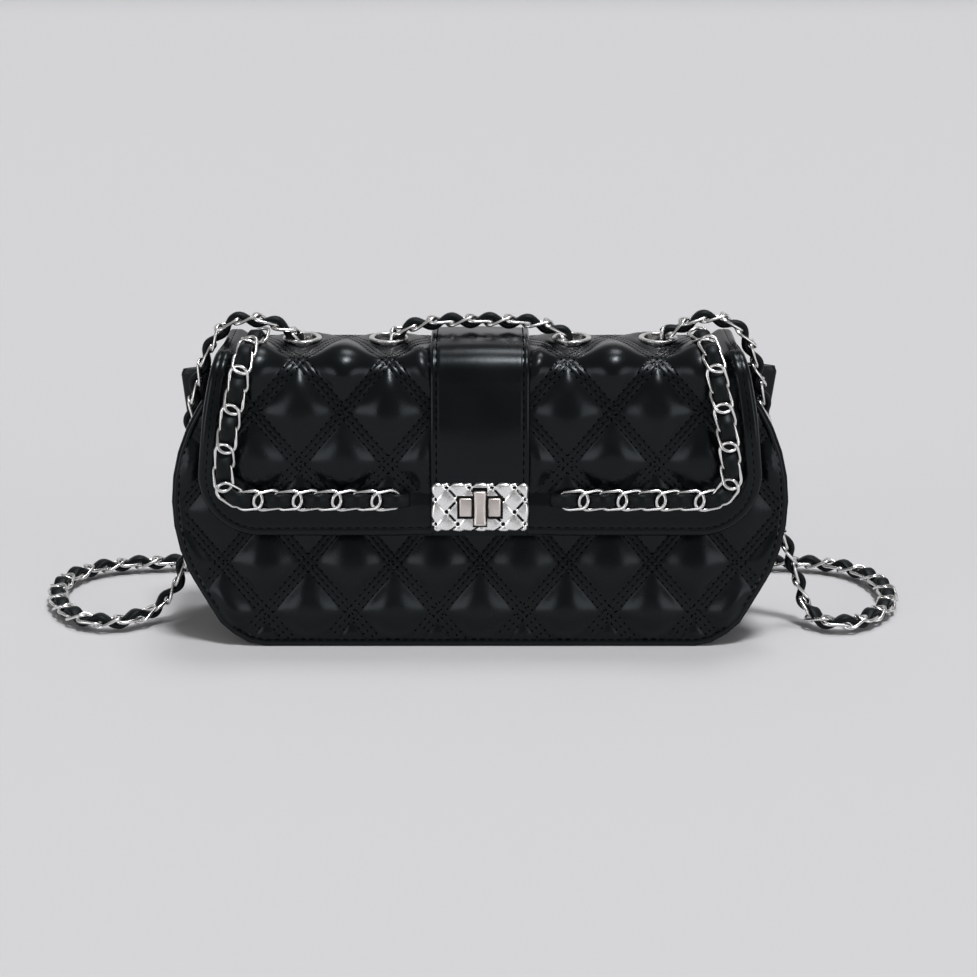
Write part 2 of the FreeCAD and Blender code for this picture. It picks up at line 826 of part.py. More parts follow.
flap_panel = keep(
    flap_layer(
        "flap_panel", flap_core, size("flap_thickness"), flap_outline, flap_top_half * 2, plate_rivet_holes,
    )
)
head_sketch = add_sketch(
    flap_panel, "XZ_Plane", (), [(x, y, size("rivet_head") + size("fit_clearance")) for x, y in plate_rivets],
)
add_pocket(flap_panel, head_sketch, size("rivet_head_rise"), reverse=True)
keep(flap_layer("flap_lining", flap_back, lining_wall, flap_outline, flap_top_half * 2))

closure_low = lock_height - size("plate_height") / 2 + size("window_margin")
closure_outline = [
    (-closure_half, closure_low), (closure_half, closure_low),
    (closure_half, roll_height), (-closure_half, roll_height),
]
keep(
    flap_layer(
        "closure_strap", flap_face, size("closure_thickness"), closure_outline, closure_half * 2,
        plate_rivet_holes,
    )
)

# Plain border along the flap's sides and lower edge, in two halves that meet the closure strap
border_in = size("border_side")
border_top = named("border_top", flap_low + size("border_bottom"))
border_round = size("border_corner")


def border_half(label, side):
    left = side > 0
    inner_high = flap_top_half - border_in
    inner_low = flap_half - border_in
    corners = [
        (closure_half * side, flap_low),
        ((flap_half - flap_corner) * side, flap_low),
        (flap_half * side, flap_low + flap_corner, flap_corner, left),
        (flap_top_half * side, roll_height),
        (inner_high * side, roll_height),
        (inner_low * side, border_top + border_round),
        ((inner_low - border_round) * side, border_top, border_round, not left),
        (closure_half * side, border_top),
    ]
    body = new_body(label)
    add_pad(body, add_sketch(body, "XZ_Plane", [corners]), size("border_thickness"))
    stand_front(body, flap_face)
    return body


for name, side in (("flap_border_left", -1), ("flap_border_right", 1)):
    keep(border_half(name, side))

# Lock on the flap: a liner with the level boss, the plate round it, and four rivets from behind
slot = rectangle(slot_width, slot_height, 0, lock_height)
liner = keep(new_body("lock_liner"))
liner_sketch = add_sketch(
    liner, "XZ_Plane",
    [
        rectangle(
            plate_width - size("liner_margin") * 2, size("plate_height") - size("liner_margin") * 2,
            0, lock_height,
        ),
        slot,
    ],
    plate_rivet_holes,
)
add_pad(liner, liner_sketch, size("liner_thickness"))
boss_side = (size("boss_width") - slot_width) / 2
boss_place = slot_width / 2 + boss_side / 2
boss_sketch = add_sketch(
    liner, "XZ_Plane",
    [rectangle(boss_side, size("boss_height"), boss_place * side, lock_height) for side in (-1, 1)],
)
add_pad(liner, boss_sketch, boss_face - closure_face)
stand_front(liner, closure_face)

boss_window_half = size("boss_width") / 2 + size("boss_gap")
boss_window_rise = size("boss_height") / 2 + size("boss_gap")
slot_half = slot_width / 2
slot_rise = slot_height / 2
cross_window = [
    (-slot_half, lock_height - slot_rise), (slot_half, lock_height - slot_rise),
    (slot_half, lock_height - boss_window_rise), (boss_window_half, lock_height - boss_window_rise),
    (boss_window_half, lock_height + boss_window_rise), (slot_half, lock_height + boss_window_rise),
    (slot_half, lock_height + slot_rise), (-slot_half, lock_height + slot_rise),
    (-slot_half, lock_height + boss_window_rise), (-boss_window_half, lock_height + boss_window_rise),
    (-boss_window_half, lock_height - boss_window_rise), (-slot_half, lock_height - boss_window_rise),
]
plate = keep(new_body("lock_plate"))
plate_outline = rounded_rectangle(
    plate_width, size("plate_height"), size("plate_corner"), 0, lock_height,
)
add_pad(plate, add_sketch(plate, "XZ_Plane", [plate_outline, cross_window]), size("plate_thickness"))
blind_holes = add_sketch(plate, "XZ_Plane", (), plate_rivet_holes)
add_pocket(plate, blind_holes, size("plate_rivet_depth"), reverse=True)
stand_front(plate, liner_face)


def rivet_group(label, places, head_base, head_height, shank_height):
    """Rivets as one group: a head and a shank each, standing outward from head_base."""
    body = new_body(label)
    heads = add_sketch(body, "XZ_Plane", (), [(x, y, size("rivet_head")) for x, y in places])
    add_pad(body, heads, head_height)
    shanks = add_sketch(body, "XZ_Plane", (), [(x, y, size("rivet_diameter")) for x, y in places])
    add_pad(body, shanks, shank_height)
    stand_front(body, head_base)
    return body


keep(
    rivet_group(
        "lock_plate_rivets", plate_rivets, flap_core, size("rivet_head_rise"),
        liner_face - flap_core + size("plate_rivet_depth"),
    )
)

# Lock on the bag: the socket plate, its backing plate inside, two rivets, and the turning toggle
socket_bore = size("post_diameter") + size("post_clearance") * 2
socket = keep(new_body("lock_socket"))
socket_outline = rectangle(socket_width, size("socket_height"), 0, lock_height)
socket_sketch = add_sketch(
    socket, "XZ_Plane", [socket_outline], socket_holes + [(0, lock_height, socket_bore)]
)
add_pad(socket, socket_sketch, size("socket_thickness"))
stand_front(socket, panel_face)

backing = keep(new_body("lock_backing"))
backing_sketch = add_sketch(
    backing, "XZ_Plane", [socket_outline], socket_holes + [(0, lock_height, bore)]
)
add_pad(backing, backing_sketch, size("backing_thickness"))
stand_front(backing, 0)

socket_rivet_group = keep(new_body("lock_socket_rivets"))
shanks = add_sketch(
    socket_rivet_group, "XZ_Plane", (), [(x, y, size("rivet_diameter")) for x, y in socket_rivets]
)
add_pad(socket_rivet_group, shanks, panel_face + size("socket_thickness"))
heads = add_sketch(
    socket_rivet_group, "XZ_Plane", (), [(x, y, size("rivet_head")) for x, y in socket_rivets],
    lift=panel_face + size("socket_thickness"),
)
add_pad(socket_rivet_group, heads, size("rivet_head_rise"))
stand_front(socket_rivet_group, 0)

toggle = keep(new_body("lock_toggle"))
post = add_sketch(toggle, "XZ_Plane", (), [(0, lock_height, size("post_diameter"))])
post_length = bar_back - size("clip_seat")
add_pad(toggle, post, post_length)
bar_sketch = add_sketch(
    toggle, "XZ_Plane",
    [rectangle(size("bar_width"), size("bar_length"), 0, lock_height)],
    lift=post_length,
)
bar = add_pad(toggle, bar_sketch, size("bar_thickness"))
bar_front = -(post_length.value + size("bar_thickness").value)
front_edges = [
    f"Edge{number}" for number, edge in enumerate(bar.Shape.Edges, start=1)
    if all(abs(vertex.Point.y - bar_front) < 0.001 for vertex in edge.Vertexes)
]
bar_fillet = toggle.newObject("PartDesign::Fillet", "bar_fillet")
bar_fillet.Base = (bar, front_edges)
bar_fillet.Radius = size("bar_round").value
bar_fillet.setExpression("Radius", size("bar_round").text)
doc.recompute()
stand_front(toggle, size("clip_seat"))


def post_ring(label, outside, thickness, hole, outward):
    body = new_body(label)
    rings = [(0, lock_height, outside), (0, lock_height, hole)]
    add_pad(body, add_sketch(body, "XZ_Plane", (), rings), thickness)
    stand_front(body, outward)
    return body


clip_hole = size("post_diameter") + size("fit_clearance")
keep(post_ring("toggle_clip", size("clip_diameter"), size("clip_thickness"), clip_hole, size("clip_seat")))
keep(
    post_ring(
        "toggle_spring_washer", size("clip_diameter"), size("spring_thickness"), socket_bore,
        panel_face - size("spring_thickness"),
    )
)

# Trim on the flap: a lace strip along each border, and a chain of flat links over it
lace_face = named("lace_face", flap_face + size("border_thickness") + size("lace_thickness"))
trim_low = named("trim_low", flap_low + size("trim_rise"))
trim_side_low = flap_half - size("trim_inset")
trim_side_high = flap_top_half - size("trim_inset")
trim_corner = size("trim_corner")
lace_half = size("lace_width") / 2


def trim_lace(label, side):
    left = side > 0
    corner_height = trim_low + trim_corner
    inner_round = trim_corner - lace_half
    outer_round = trim_corner + lace_half
    corners = [
        (trim_inner_end * side, trim_low - lace_half),
        ((trim_side_low - trim_corner) * side, trim_low - lace_half),
        ((trim_side_low + lace_half) * side, corner_height, outer_round, left),
        ((trim_side_high + lace_half) * side, roll_height),
        ((trim_side_high - lace_half) * side, roll_height),
        ((trim_side_low - lace_half) * side, corner_height),
        ((trim_side_low - trim_corner) * side, trim_low + lace_half, inner_round, not left),
        (trim_inner_end * side, trim_low + lace_half),
    ]
    body = new_body(label)
    add_pad(body, add_sketch(body, "XZ_Plane", [corners]), size("lace_thickness"))
    stand_front(body, lace_face - size("lace_thickness"))
    return body


def link_shape():
    """One oval link of round wire, lying along X in the XY plane."""
    wire = size("link_wire").value
    bend = (size("link_width").value - wire) / 2
    straight = (size("link_length").value - wire) / 2 - bend
    right = Part.Arc(Vector(straight, -bend, 0), Vector(straight + bend, 0, 0), Vector(straight, bend, 0))
    left = Part.Arc(Vector(-straight, bend, 0), Vector(-straight - bend, 0, 0), Vector(-straight, -bend, 0))
    path = Part.Wire([
        Part.LineSegment(Vector(-straight, -bend, 0), Vector(straight, -bend, 0)).toShape(),
        right.toShape(),
        Part.LineSegment(Vector(straight, bend, 0), Vector(-straight, bend, 0)).toShape(),
        left.toShape(),
    ])
    section = Part.Wire(Part.Circle(Vector(-straight, -bend, 0), Vector(1, 0, 0), wire / 2).toShape())
    return path.makePipeShell([section], True, False)


def trim_stations(side):
    """Places and headings of the links: along the lower edge, round the corner, up the side and the roll."""
    reach = trim_side_low.value - trim_corner.value - trim_inner_end.value
    turn = math.pi / 2 * trim_corner.value
    foot = Vector(trim_side_low.value, 0, trim_low.value + trim_corner.value)
    head = Vector(trim_side_high.value, 0, roll_height.value)
    climb = (head - foot).Length
    total = reach + turn + climb
    pitch = size("link_pitch").value
    count = int(total / pitch)
    for number in range(count):
        way = (number + 0.5) * total / count
        if way < reach:
            point = Vector(trim_inner_end.value + way, 0, trim_low.value)
            heading = 0.0
        elif way < reach + turn:
            heading = (way - reach) / trim_corner.value
            point = Vector(
                foot.x - trim_corner.value + trim_corner.value * math.sin(heading), 0,
                foot.z - trim_corner.value * math.cos(heading),
            )
        else:
            point = foot + (head - foot) * ((way - reach - turn) / climb)
            heading = math.atan2(head.z - foot.z, head.x - foot.x)
        yield number, Vector(point.x * side, 0, point.z), heading if side > 0 else math.pi - heading


def trim_chain(label, side):
    """The links of one trim chain, rolled to and fro so that neighbours pass through each other."""
    wire = size("link_wire").value
    swing = (size("link_width").value - wire) / 2 * math.sin(math.radians(size("link_roll").value))
    lift = size("link_gap").value + swing + wire / 2
    lean = Rotation(Vector(-1, 0, 0), size("front_lean").value)
    outward = lace_face.value + lift
    seat = Placement(
        Vector(0, -front_inner.value - outward * lean_cosine.value, outward * lean_sine.value), lean
    )
    upright = Rotation(Vector(1, 0, 0), 90)
    pattern = link_shape()
    links = []
    for number, point, heading in trim_stations(side):
        roll = size("link_roll").value * (1 if number % 2 else -1)
        turn = upright * Rotation(Vector(0, 0, 1), math.degrees(heading)) * Rotation(Vector(1, 0, 0), roll)
        link = pattern.copy()
        link.Placement = seat * Placement(point, turn)
        links.append(link)
    item = doc.addObject("Part::Feature", label)
    item.Label = label
    item.Shape = Part.makeCompound(links)
    return item


for name, side in (("left", -1), ("right", 1)):
    keep(trim_lace(f"trim_lace_{name}", side))
    keep(trim_chain(f"trim_chain_{name}", side))

# Chain strap: one closed loop through the four eyelets, in stretches that meet end to end.
# Its long stretch goes from the left outer eyelet over the corner to the floor, round behind and up again.
LEFT_RUN = (
    (-73, -2, 117.3), (-73.5, -2, 124.6), (-79, -2, 131), (-89.5, -2, 132), (-102, -2, 130.5),
    (-111, -2, 123.5), (-115.5, -3, 111), (-118.8, -3, 96), (-122.8, -2, 80), (-125, 0, 62),
    (-125.3, 2, 45), (-126.2, 2, 29),
)
LEFT_LOOP = (
    (-130, 0, 15), (-137.5, -5, 6.4), (-147, -16, 4.7), (-158, -20, 4.6), (-169, -14, 4.6),
    (-179, 2, 4.6), (-185.5, 23, 4.6), (-186, 45, 4.6), (-179, 62, 4.6), (-166, 72, 4.6),
    (-150, 76, 4.6), (-128, 78, 4.6), (-98, 76, 4.6),
)
BACK_RUN = (
    (-52, 70, 4.6), (0, 67, 4.6), (52, 70, 4.6), (98, 76, 4.6),
)
RIGHT_LOOP = (
    (127, 78, 4.6), (147, 76, 4.6), (161, 71, 4.6), (171.5, 59.5, 4.6), (177.5, 41, 4.6),
    (178, 21, 4.6), (173.5, 3, 4.6), (164, -12, 4.6), (157.5, -19, 4.6), (149.5, -21, 4.6),
    (142.5, -17, 4.8), (138.5, -8.5, 6.5), (136, -1.5, 15.5), (133.2, 1, 29),
)
RIGHT_RUN = (
    (130, 1, 45), (126, 0, 62), (122.8, -2, 80), (118.8, -3, 96), (115.5, -3, 111),
    (111, -2, 123.5), (102, -2, 130.5), (89.5, -2, 132), (79, -2, 131), (73.5, -2, 124.6),
    (73, -2, 117.3),
)
TOP_ROUTE = (
    (-38.2, -2, 117.3), (-36.9, -2, 125), (-30.2, -2, 129.4), (-20, -2, 130.6), (0, -2, 131),
    (20, -2, 130.6), (30.2, -2, 129.4), (36.9, -2, 125), (38.2, -2, 117.3),
)
INSIDE_ROUTE = (
    (-73, -2, 117.3), (-72.3, -2, 108), (-65.5, -2, 101), (-55.7, -2, 98.5),
    (-46.5, -2, 101), (-39.8, -2, 108), (-38.2, -2, 117.3),
)
RUN_SHARE = 0.45
LONG_STRETCHES = (
    ("strap_left_run", LEFT_RUN), ("strap_left_loop", LEFT_LOOP), ("strap_back_run", BACK_RUN),
    ("strap_right_loop", RIGHT_LOOP), ("strap_right_run", RIGHT_RUN),
)


def rounded_path(points, before=None, after=None):
    """Edges along a stretch of the route: straight runs joined by tangent arcs.

    Next to another stretch, whose nearest point is given, it ends halfway along the run to that point.
    """
    spots = [Vector(*point) for point in points]
    begin = spots[0]
    end = spots[-1]
    if before is not None:
        spots.insert(0, Vector(*before))
        begin = (spots[0] + spots[1]) * 0.5
    if after is not None:
        spots.append(Vector(*after))
        end = (spots[-2] + spots[-1]) * 0.5
    edges = []
    radii = []
    here = begin
    for index in range(1, len(spots) - 1):
        before = spots[index - 1] - spots[index]
        after = spots[index + 1] - spots[index]
        cut = RUN_SHARE * min(before.Length, after.Length)
        turn = math.pi - before.getAngle(after)
        radius = cut / math.tan(turn / 2)
        radii.append(radius)
        start = spots[index] + before.normalize() * cut
        finish = spots[index] + after.normalize() * cut
        inward = (before + after).normalize()
        middle = spots[index] + inward * (radius / math.cos(turn / 2) - radius)
        edges.append(Part.LineSegment(here, start).toShape())
        edges.append(Part.Arc(start, middle, finish).toShape())
        here = finish
    edges.append(Part.LineSegment(here, end).toShape())
    return edges, radii


def strap_tube(label, points, before=None, after=None):
    """Round tube along a stretch of the route, checked against its section times its length."""
    edges, radii = rounded_path(points, before, after)
    path = Part.Wire(edges)
    radius = size("strap_diameter").value / 2
    start = edges[0].valueAt(edges[0].FirstParameter)
    heading = edges[0].tangentAt(edges[0].FirstParameter)
    section = Part.Wire(Part.Circle(start, heading, radius).toShape())
    tube = path.makePipeShell([section], True, False)
    expected = math.pi * radius ** 2 * path.Length
    if abs(tube.Volume - expected) > 0.01 * expected:
        raise RuntimeError(f"{label}: volume {tube.Volume:.0f}, expected {expected:.0f}")
    print(f"{label}: length {path.Length:.1f}, radii {min(radii):.1f} to {max(radii):.1f}")
    item = doc.addObject("Part::Feature", label)
    item.Label = label
    item.Shape = tube
    return item


def mirrored(points):
    return tuple((-x, y, z) for x, y, z in reversed(points))


for index, (name, points) in enumerate(LONG_STRETCHES):
    before = LONG_STRETCHES[index - 1][1][-1] if index > 0 else None
    after = LONG_STRETCHES[index + 1][1][0] if index + 1 < len(LONG_STRETCHES) else None
    keep(strap_tube(name, points, before, after))
keep(strap_tube("strap_top_run", TOP_ROUTE))
keep(strap_tube("strap_inside_left", INSIDE_ROUTE))
keep(strap_tube("strap_inside_right", mirrored(INSIDE_ROUTE)))

doc.recompute()
for item in doc.Objects:
    if "Invalid" in item.State or "Error" in item.State:
        raise RuntimeError(f"{item.Label} failed: {item.State}")
for piece in pieces:
    if piece.Shape.isNull() or not piece.Shape.isValid() or not piece.Shape.Solids:
        raise RuntimeError(f"{piece.Label} has no sound shape")

os.makedirs("parts", exist_ok=True)
for piece in pieces:
    piece.Shape.exportStep(f"parts/{piece.Label}.step")
hinge_out = roll_outer.value + 1
hinge_angle = math.radians(size("front_lean").value + roll_turn.value / 2)
print(f"{len(pieces)} pieces")
print(f"flap hinge line: y {roll_y.value - hinge_out * math.cos(hinge_angle):.3f},",
      f"z {roll_z.value + hinge_out * math.sin(hinge_angle):.3f}")
print(f"toggle axis point: y {lock_height.value * lean_sine.value - front_inner.value:.3f},",
      f"z {lock_height.value * lean_cosine.value:.3f}")
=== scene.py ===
"""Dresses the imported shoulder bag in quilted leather, chain trim, a turn lock and a laced chain strap."""
import bisect
import math

import bmesh
import bpy
from bpy.props import FloatProperty, FloatVectorProperty, PointerProperty
from bpy.types import Operator, Panel, PropertyGroup
from mathutils import Matrix, Vector, noise


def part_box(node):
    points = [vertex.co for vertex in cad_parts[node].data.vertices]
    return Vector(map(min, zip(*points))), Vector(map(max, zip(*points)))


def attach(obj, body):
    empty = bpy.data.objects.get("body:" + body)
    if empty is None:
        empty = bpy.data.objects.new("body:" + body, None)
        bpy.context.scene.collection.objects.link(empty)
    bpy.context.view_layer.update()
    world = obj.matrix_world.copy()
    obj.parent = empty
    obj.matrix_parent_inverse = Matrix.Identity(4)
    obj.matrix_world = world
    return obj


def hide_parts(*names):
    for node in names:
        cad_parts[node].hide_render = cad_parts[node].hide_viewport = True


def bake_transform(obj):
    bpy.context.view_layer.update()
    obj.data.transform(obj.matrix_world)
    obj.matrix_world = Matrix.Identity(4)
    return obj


bl_info = {
    "name": "Quilted chain shoulder bag",
    "version": (1, 0, 0),
    "blender": (4, 5, 0),
    "location": "View3D > Sidebar > Bag",
    "description": "Builds the soft goods, chain and finishes of a quilted shoulder bag around its CAD frame",
    "category": "Object",
}

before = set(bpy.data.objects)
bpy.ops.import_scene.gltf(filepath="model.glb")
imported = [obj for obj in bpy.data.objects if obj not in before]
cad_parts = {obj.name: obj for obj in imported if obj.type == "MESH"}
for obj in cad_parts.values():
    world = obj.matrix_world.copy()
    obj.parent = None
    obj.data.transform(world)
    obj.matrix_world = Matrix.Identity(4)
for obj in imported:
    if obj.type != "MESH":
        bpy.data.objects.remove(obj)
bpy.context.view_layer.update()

# Lengths below are millimetres, like the part's own sizes. Meshes are brought to metres when finished.
METRES = 0.001

# Floor and wall of the stage, in metres
STAGE_REACH = 12.0
WALL_PLACE = 9.0
WALL_HEIGHT = 7.0

# Shell: both panels lean in from the base.
PANEL_PLACE = 32.0
PANEL_THICKNESS = 5.0
FRONT_LEAN = math.radians(5)
BACK_LEAN = math.radians(9)
FRONT_TOP = 101.0
PANEL_QUILT_WIDE = 35.0
PANEL_QUILT_TALL = 41.8
PANEL_QUILT_CROSSING = 34.8
PANEL_INNER = 0.2
FRONT_LEVEL = 2.4
FRONT_BELLY = 2.4
BACK_LEVEL = 2.2
BACK_BELLY = 0.96
WIDEST_HALF = 125.0
WIDEST_HEIGHT = 60.0
BASE_HALF = 91.0
CORNER_FULLNESS = 3.0
CORNER_HEIGHT = 7.5
CORNER_REACH = 7.0
SHOULDER_HEIGHT = 98.0
SHOULDER_HALF = 114.0

# Flap and top, one skin from the flap's lower edge over the roll to the crest at the back.
FLAP_BOTTOM = 47.0
FLAP_FACE = 10.4
FLAP_HALF = 113.5
FLAP_CORNER = 25.0
ROLL_HEIGHT = 108.5
ROLL_REACH = 12.3
FLAP_BULGE = 1.7
BULGE_LOW = 16.0
BULGE_HIGH = 65.0
SHOULDER_TUCK = 2.0
TUCK_RISE = (45, 80)
TUCK_FALL = (90, 115)
TUCK_SIDE = 80
TOP_SLOPE = math.radians(5)
CREST_REACH = 10.0
CREST_HALF = 103.5
BORDER_SIDE = 11.0
BORDER_BOTTOM = 18.5
BORDER_CORNER = 8.0
EDGE_STITCH_PITCH = 3.5
SKIN_INNER = -3.9
LINING_OUTER = -4.0
LINING_INNER = -4.75
FLAP_QUILT_CROSSING = 29.2
FLAP_QUILT_ASIDE = -0.9
FLAP_QUILT_BEND = 65.0
FLAP_QUILT_STRETCH = 1.43

# Padding of the panels: where it is pressed by the flap and clear of it, and how it rises from the edges
UNDER_FLAP = (FLAP_BOTTOM - 34, FLAP_BOTTOM + 6)
BESIDE_FLAP = (FLAP_HALF + 1, FLAP_HALF + 5)
FLAP_PRESS = 0.32
BACK_PUFF = 0.8
BACK_TUCK = 4.0
BELLY_FOOT = (0, 14)
BELLY_EDGE = (0, 40)
PUFF_EDGE = (1.5, 7)
PANEL_SEAM = 4.4

# Ears of the gussets: how far each tip stays inside the CAD's, its slant, and how far it is raised
EAR_TIPS = {"left": (0.8, 2.2, 0.3), "right": (1.9, 3.0, 1.6)}

# Closure strap and lock
CLOSURE_HALF = 20.0
CLOSURE_END = 50.0
CLOSURE_SEAM = 2.5
LOCK_HEIGHT = 59.4
PLATE_HALF_WIDTH = 19.7
PLATE_HALF_HEIGHT = 10.0
PLATE_CORNER = 2.6
PLATE_BACK = 12.45
PLATE_LEVEL = 13.1
PLATE_RELIEF = 1.5
LINER_FACE = 12.4
LINER_BACK = 11.85
BOSS_SIZE = (5.0, 2.7, 7.4)
BOSS_PLACE = (5.75, 13.65)
TOGGLE_SIZE = (5.2, 3.0, 14.0)
TOGGLE_OUT = 16.9
POST_RADIUS = 2.2
POST_LENGTH = 20.0
POST_MIDDLE = 11.2

# Eyelets in the top
EYELET_SETBACK = 19.8
EYELET_PLACES = (-73.0, -37.6, 37.6, 73.0)
EYELET_HOLE = 6.6
EYELET_PITCH = 35.4

# Where the padding swells most: the roll and top between the eyelets, and one row of diamonds on the roll
TOP_SWELL = 2.5
SWELL_START = 60.0
SWELL_END = 116.0
CLOSURE_SWELL = 0.8
FULL_ROW = 64.0
FULL_ROW_REACH = 8.0

# Trim chain on the flap
TRIM_LOW_HALF = {"left": 102.6, "right": 100.4}
TRIM_DRAW_IN = {"left": 9.8, "right": 8.6}
TRIM_RISE = 15.3
TRIM_CORNER = 9.0
TRIM_INNER_END = 28.5
TRIM_LINK_GAP = 5.2
TRIM_UPPER_END = 93.0
TRIM_LIFT = 4.2
TRIM_LACE_FLOOR = -1.7
TRIM_DRAW_LENGTH = 54.0
TRIM_DRAW_POWER = 1.35

# Route of the strap, as in the part's source, drawn a little closer to the leather over the top
LEFT_RUN = (
    (-73, -2, 117.3), (-73.4, -2, 122), (-78.4, -2, 125.7), (-86.6, -2, 129.2), (-96.8, -2, 130.8),
    (-104.8, -2.5, 127.8), (-110.9, -3, 118.8), (-115.2, -3, 109), (-118.2, -3, 98), (-120, -3, 85),
    (-121, -1.5, 69), (-121.5, 1, 50), (-123.4, 2, 30),
)
LEFT_LOOP = (
    (-128.4, 1, 15), (-136.6, -2, 6.4), (-146.2, -12.5, 4.7), (-157.2, -16, 4.6), (-168.1, -10.3, 4.6),
    (-178, 5.5, 4.6), (-184.5, 25.5, 4.6), (-185, 46.5, 4.6), (-178, 63, 4.6), (-165.2, 72.5, 4.6),
    (-149.3, 76.3, 4.6), (-127.5, 78, 4.6), (-98, 76, 4.6),
)
BACK_RUN = ((-52, 70, 4.6), (0, 67, 4.6), (52, 70, 4.6), (98, 76, 4.6))
RIGHT_LOOP = (
    (126.5, 78, 4.6), (146.3, 76.2, 4.6), (160.2, 71.6, 4.6), (170.6, 60.8, 4.6), (176.6, 43, 4.6),
    (177.1, 23.6, 4.6), (172.6, 6.2, 4.6), (163.2, -8.4, 4.6), (156.8, -15.2, 4.6), (148.8, -17.2, 4.6),
    (141.8, -13.4, 4.8), (137.6, -5.6, 6.5), (134.8, -0.2, 15.5), (130.4, 1, 29),
)
RIGHT_RUN = (
    (124, 1, 46), (120.6, -1, 66), (118.6, -3, 85), (116.5, -3, 98), (114, -3, 109.7), (111, -3, 119.2),
    (106, -2.5, 127), (98.4, -2, 130.6), (89.6, -2, 130.8), (80, -2, 126.2), (73.4, -2, 122), (73, -2, 117.3),
)
LONG_ROUTE = LEFT_RUN + LEFT_LOOP + BACK_RUN + RIGHT_LOOP + RIGHT_RUN
TOP_ROUTE = (
    (-38.2, -2, 117.3), (-36.6, -2, 122.3), (-30.7, -2, 126.6), (-20, -2, 129.2), (0, -2, 129.8),
    (20, -2, 129.2), (29.8, -2, 126.9), (36.6, -2, 122.3), (38.2, -2, 117.3),
)
INSIDE_LEFT = (
    (-73, -2, 117.3), (-72.3, -2, 108), (-65.5, -2, 101), (-55.7, -2, 98.5), (-46.5, -2, 101),
    (-39.8, -2, 108), (-38.2, -2, 117.3),
)
INSIDE_RIGHT = tuple((-x, y, z) for x, y, z in INSIDE_LEFT)

# Settings that all colour properties share
COLOUR = {"subtype": "COLOR", "size": 3, "min": 0, "max": 1}


class BagLeather(PropertyGroup):
    """Sizes and colours of the leather and its quilting"""

    colour: FloatVectorProperty(
        name="Leather", description="Colour of the leather", default=(0.0012, 0.0020, 0.0024), **COLOUR,
    )
    bright: FloatVectorProperty(
        name="Worn leather", description="Colour where it is rubbed", default=(0.0026, 0.0036, 0.0042),
        **COLOUR,
    )
    quilt_wide: FloatProperty(
        name="Diamond width", description="Width of a quilted diamond", unit="LENGTH", default=0.0359,
    )
    quilt_tall: FloatProperty(
        name="Diamond height", description="Height of a quilted diamond", unit="LENGTH", default=0.0427,
    )
    flap_puff: FloatProperty(
        name="Flap padding", description="Rise of a diamond on the flap", unit="LENGTH", default=0.0033,
    )
    panel_puff: FloatProperty(
        name="Panel padding", description="Rise of a diamond on a panel", unit="LENGTH", default=0.0036,
    )
    row_gap: FloatProperty(
        name="Row gap", description="Distance between a band's stitch rows", unit="LENGTH", default=0.0021,
    )
    stitch_pitch: FloatProperty(
        name="Stitch pitch", description="Length of one stitch with its hole", unit="LENGTH", default=0.0031,
    )


class BagChain(PropertyGroup):
    """Sizes of the chain links and the lace woven through them"""

    pitch: FloatProperty(name="Pitch", description="Distance from link to link", unit="LENGTH", default=0.008)
    link_length: FloatProperty(name="Link length", description="Outer length", unit="LENGTH", default=0.0131)
    link_width: FloatProperty(name="Link width", description="Outer width", unit="LENGTH", default=0.0087)
    wire: FloatProperty(name="Wire", description="Thickness of a link's wire", unit="LENGTH", default=0.00145)
    twist: FloatProperty(name="Twist", description="Curb twist from end to end", default=0.3)
    lean: FloatProperty(name="Lean", description="Tilt from joint to joint", subtype="ANGLE", default=0.2)
    skew: FloatProperty(name="Skew", description="Turn in the link's plane", subtype="ANGLE", default=0.12)
    lace_width: FloatProperty(name="Lace width", description="Across the lace", unit="LENGTH", default=0.0056)
    lace_thickness: FloatProperty(
        name="Lace thickness", description="Thickness of the lace", unit="LENGTH", default=0.0028,
    )
    lace_swing: FloatProperty(
        name="Lace swing", description="How far the lace passes over a joint", unit="LENGTH", default=0.0019,
    )
    silver: FloatVectorProperty(
        name="Silver", description="Colour of the polished links", default=(0.86, 0.855, 0.84), **COLOUR,
    )


class BagStage(PropertyGroup):
    """Camera, floor and light"""

    lens: FloatProperty(name="Lens", description="Focal length in millimetres", default=85.0)
    elevation: FloatProperty(
        name="Elevation", description="How far it looks down", subtype="ANGLE", default=math.radians(14),
    )
    distance: FloatProperty(name="Distance", description="Camera to target", unit="LENGTH", default=0.9232)
    target: FloatVectorProperty(
        name="Target", description="Point in the middle of the frame", subtype="TRANSLATION", size=3,
        default=(0.0034, -0.04, 0.06798),
    )
    floor: FloatVectorProperty(
        name="Floor", description="Colour of the floor", default=(0.615, 0.617, 0.622), **COLOUR,
    )
    backdrop: FloatVectorProperty(
        name="Backdrop", description="Colour of the wall behind the bag", default=(0.64, 0.64, 0.65),
        **COLOUR,
    )
    sky: FloatProperty(name="Sky", description="Strength of the even light", default=0.24, min=0)
    key: FloatProperty(name="Key", description="Strength of the lamp from above", default=2.0, min=0)
    rear: FloatProperty(name="Rear", description="Strength of the lamp from behind", default=0.75, min=0)
    side: FloatProperty(name="Side", description="Strength of the lamps at both sides", default=0.55, min=0)


def mm(length):
    """A length property in millimetres."""
    return length / METRES


def smooth_step(low, high, value):
    """Smooth rise from 0 at low to 1 at high."""
    share = min(1.0, max(0.0, (value - low) / (high - low)))
    return share * share * (3 - 2 * share)


def hill(low, high, value):
    """Smooth rise from 0 at low to 1 half way, and back to 0 at high."""
    if not low < value < high:
        return 0.0
    return math.sin(math.pi * (value - low) / (high - low)) ** 2


def bell(distance, width):
    """Bell curve, 1 at no distance."""
    return math.exp(-((distance / width) ** 2))


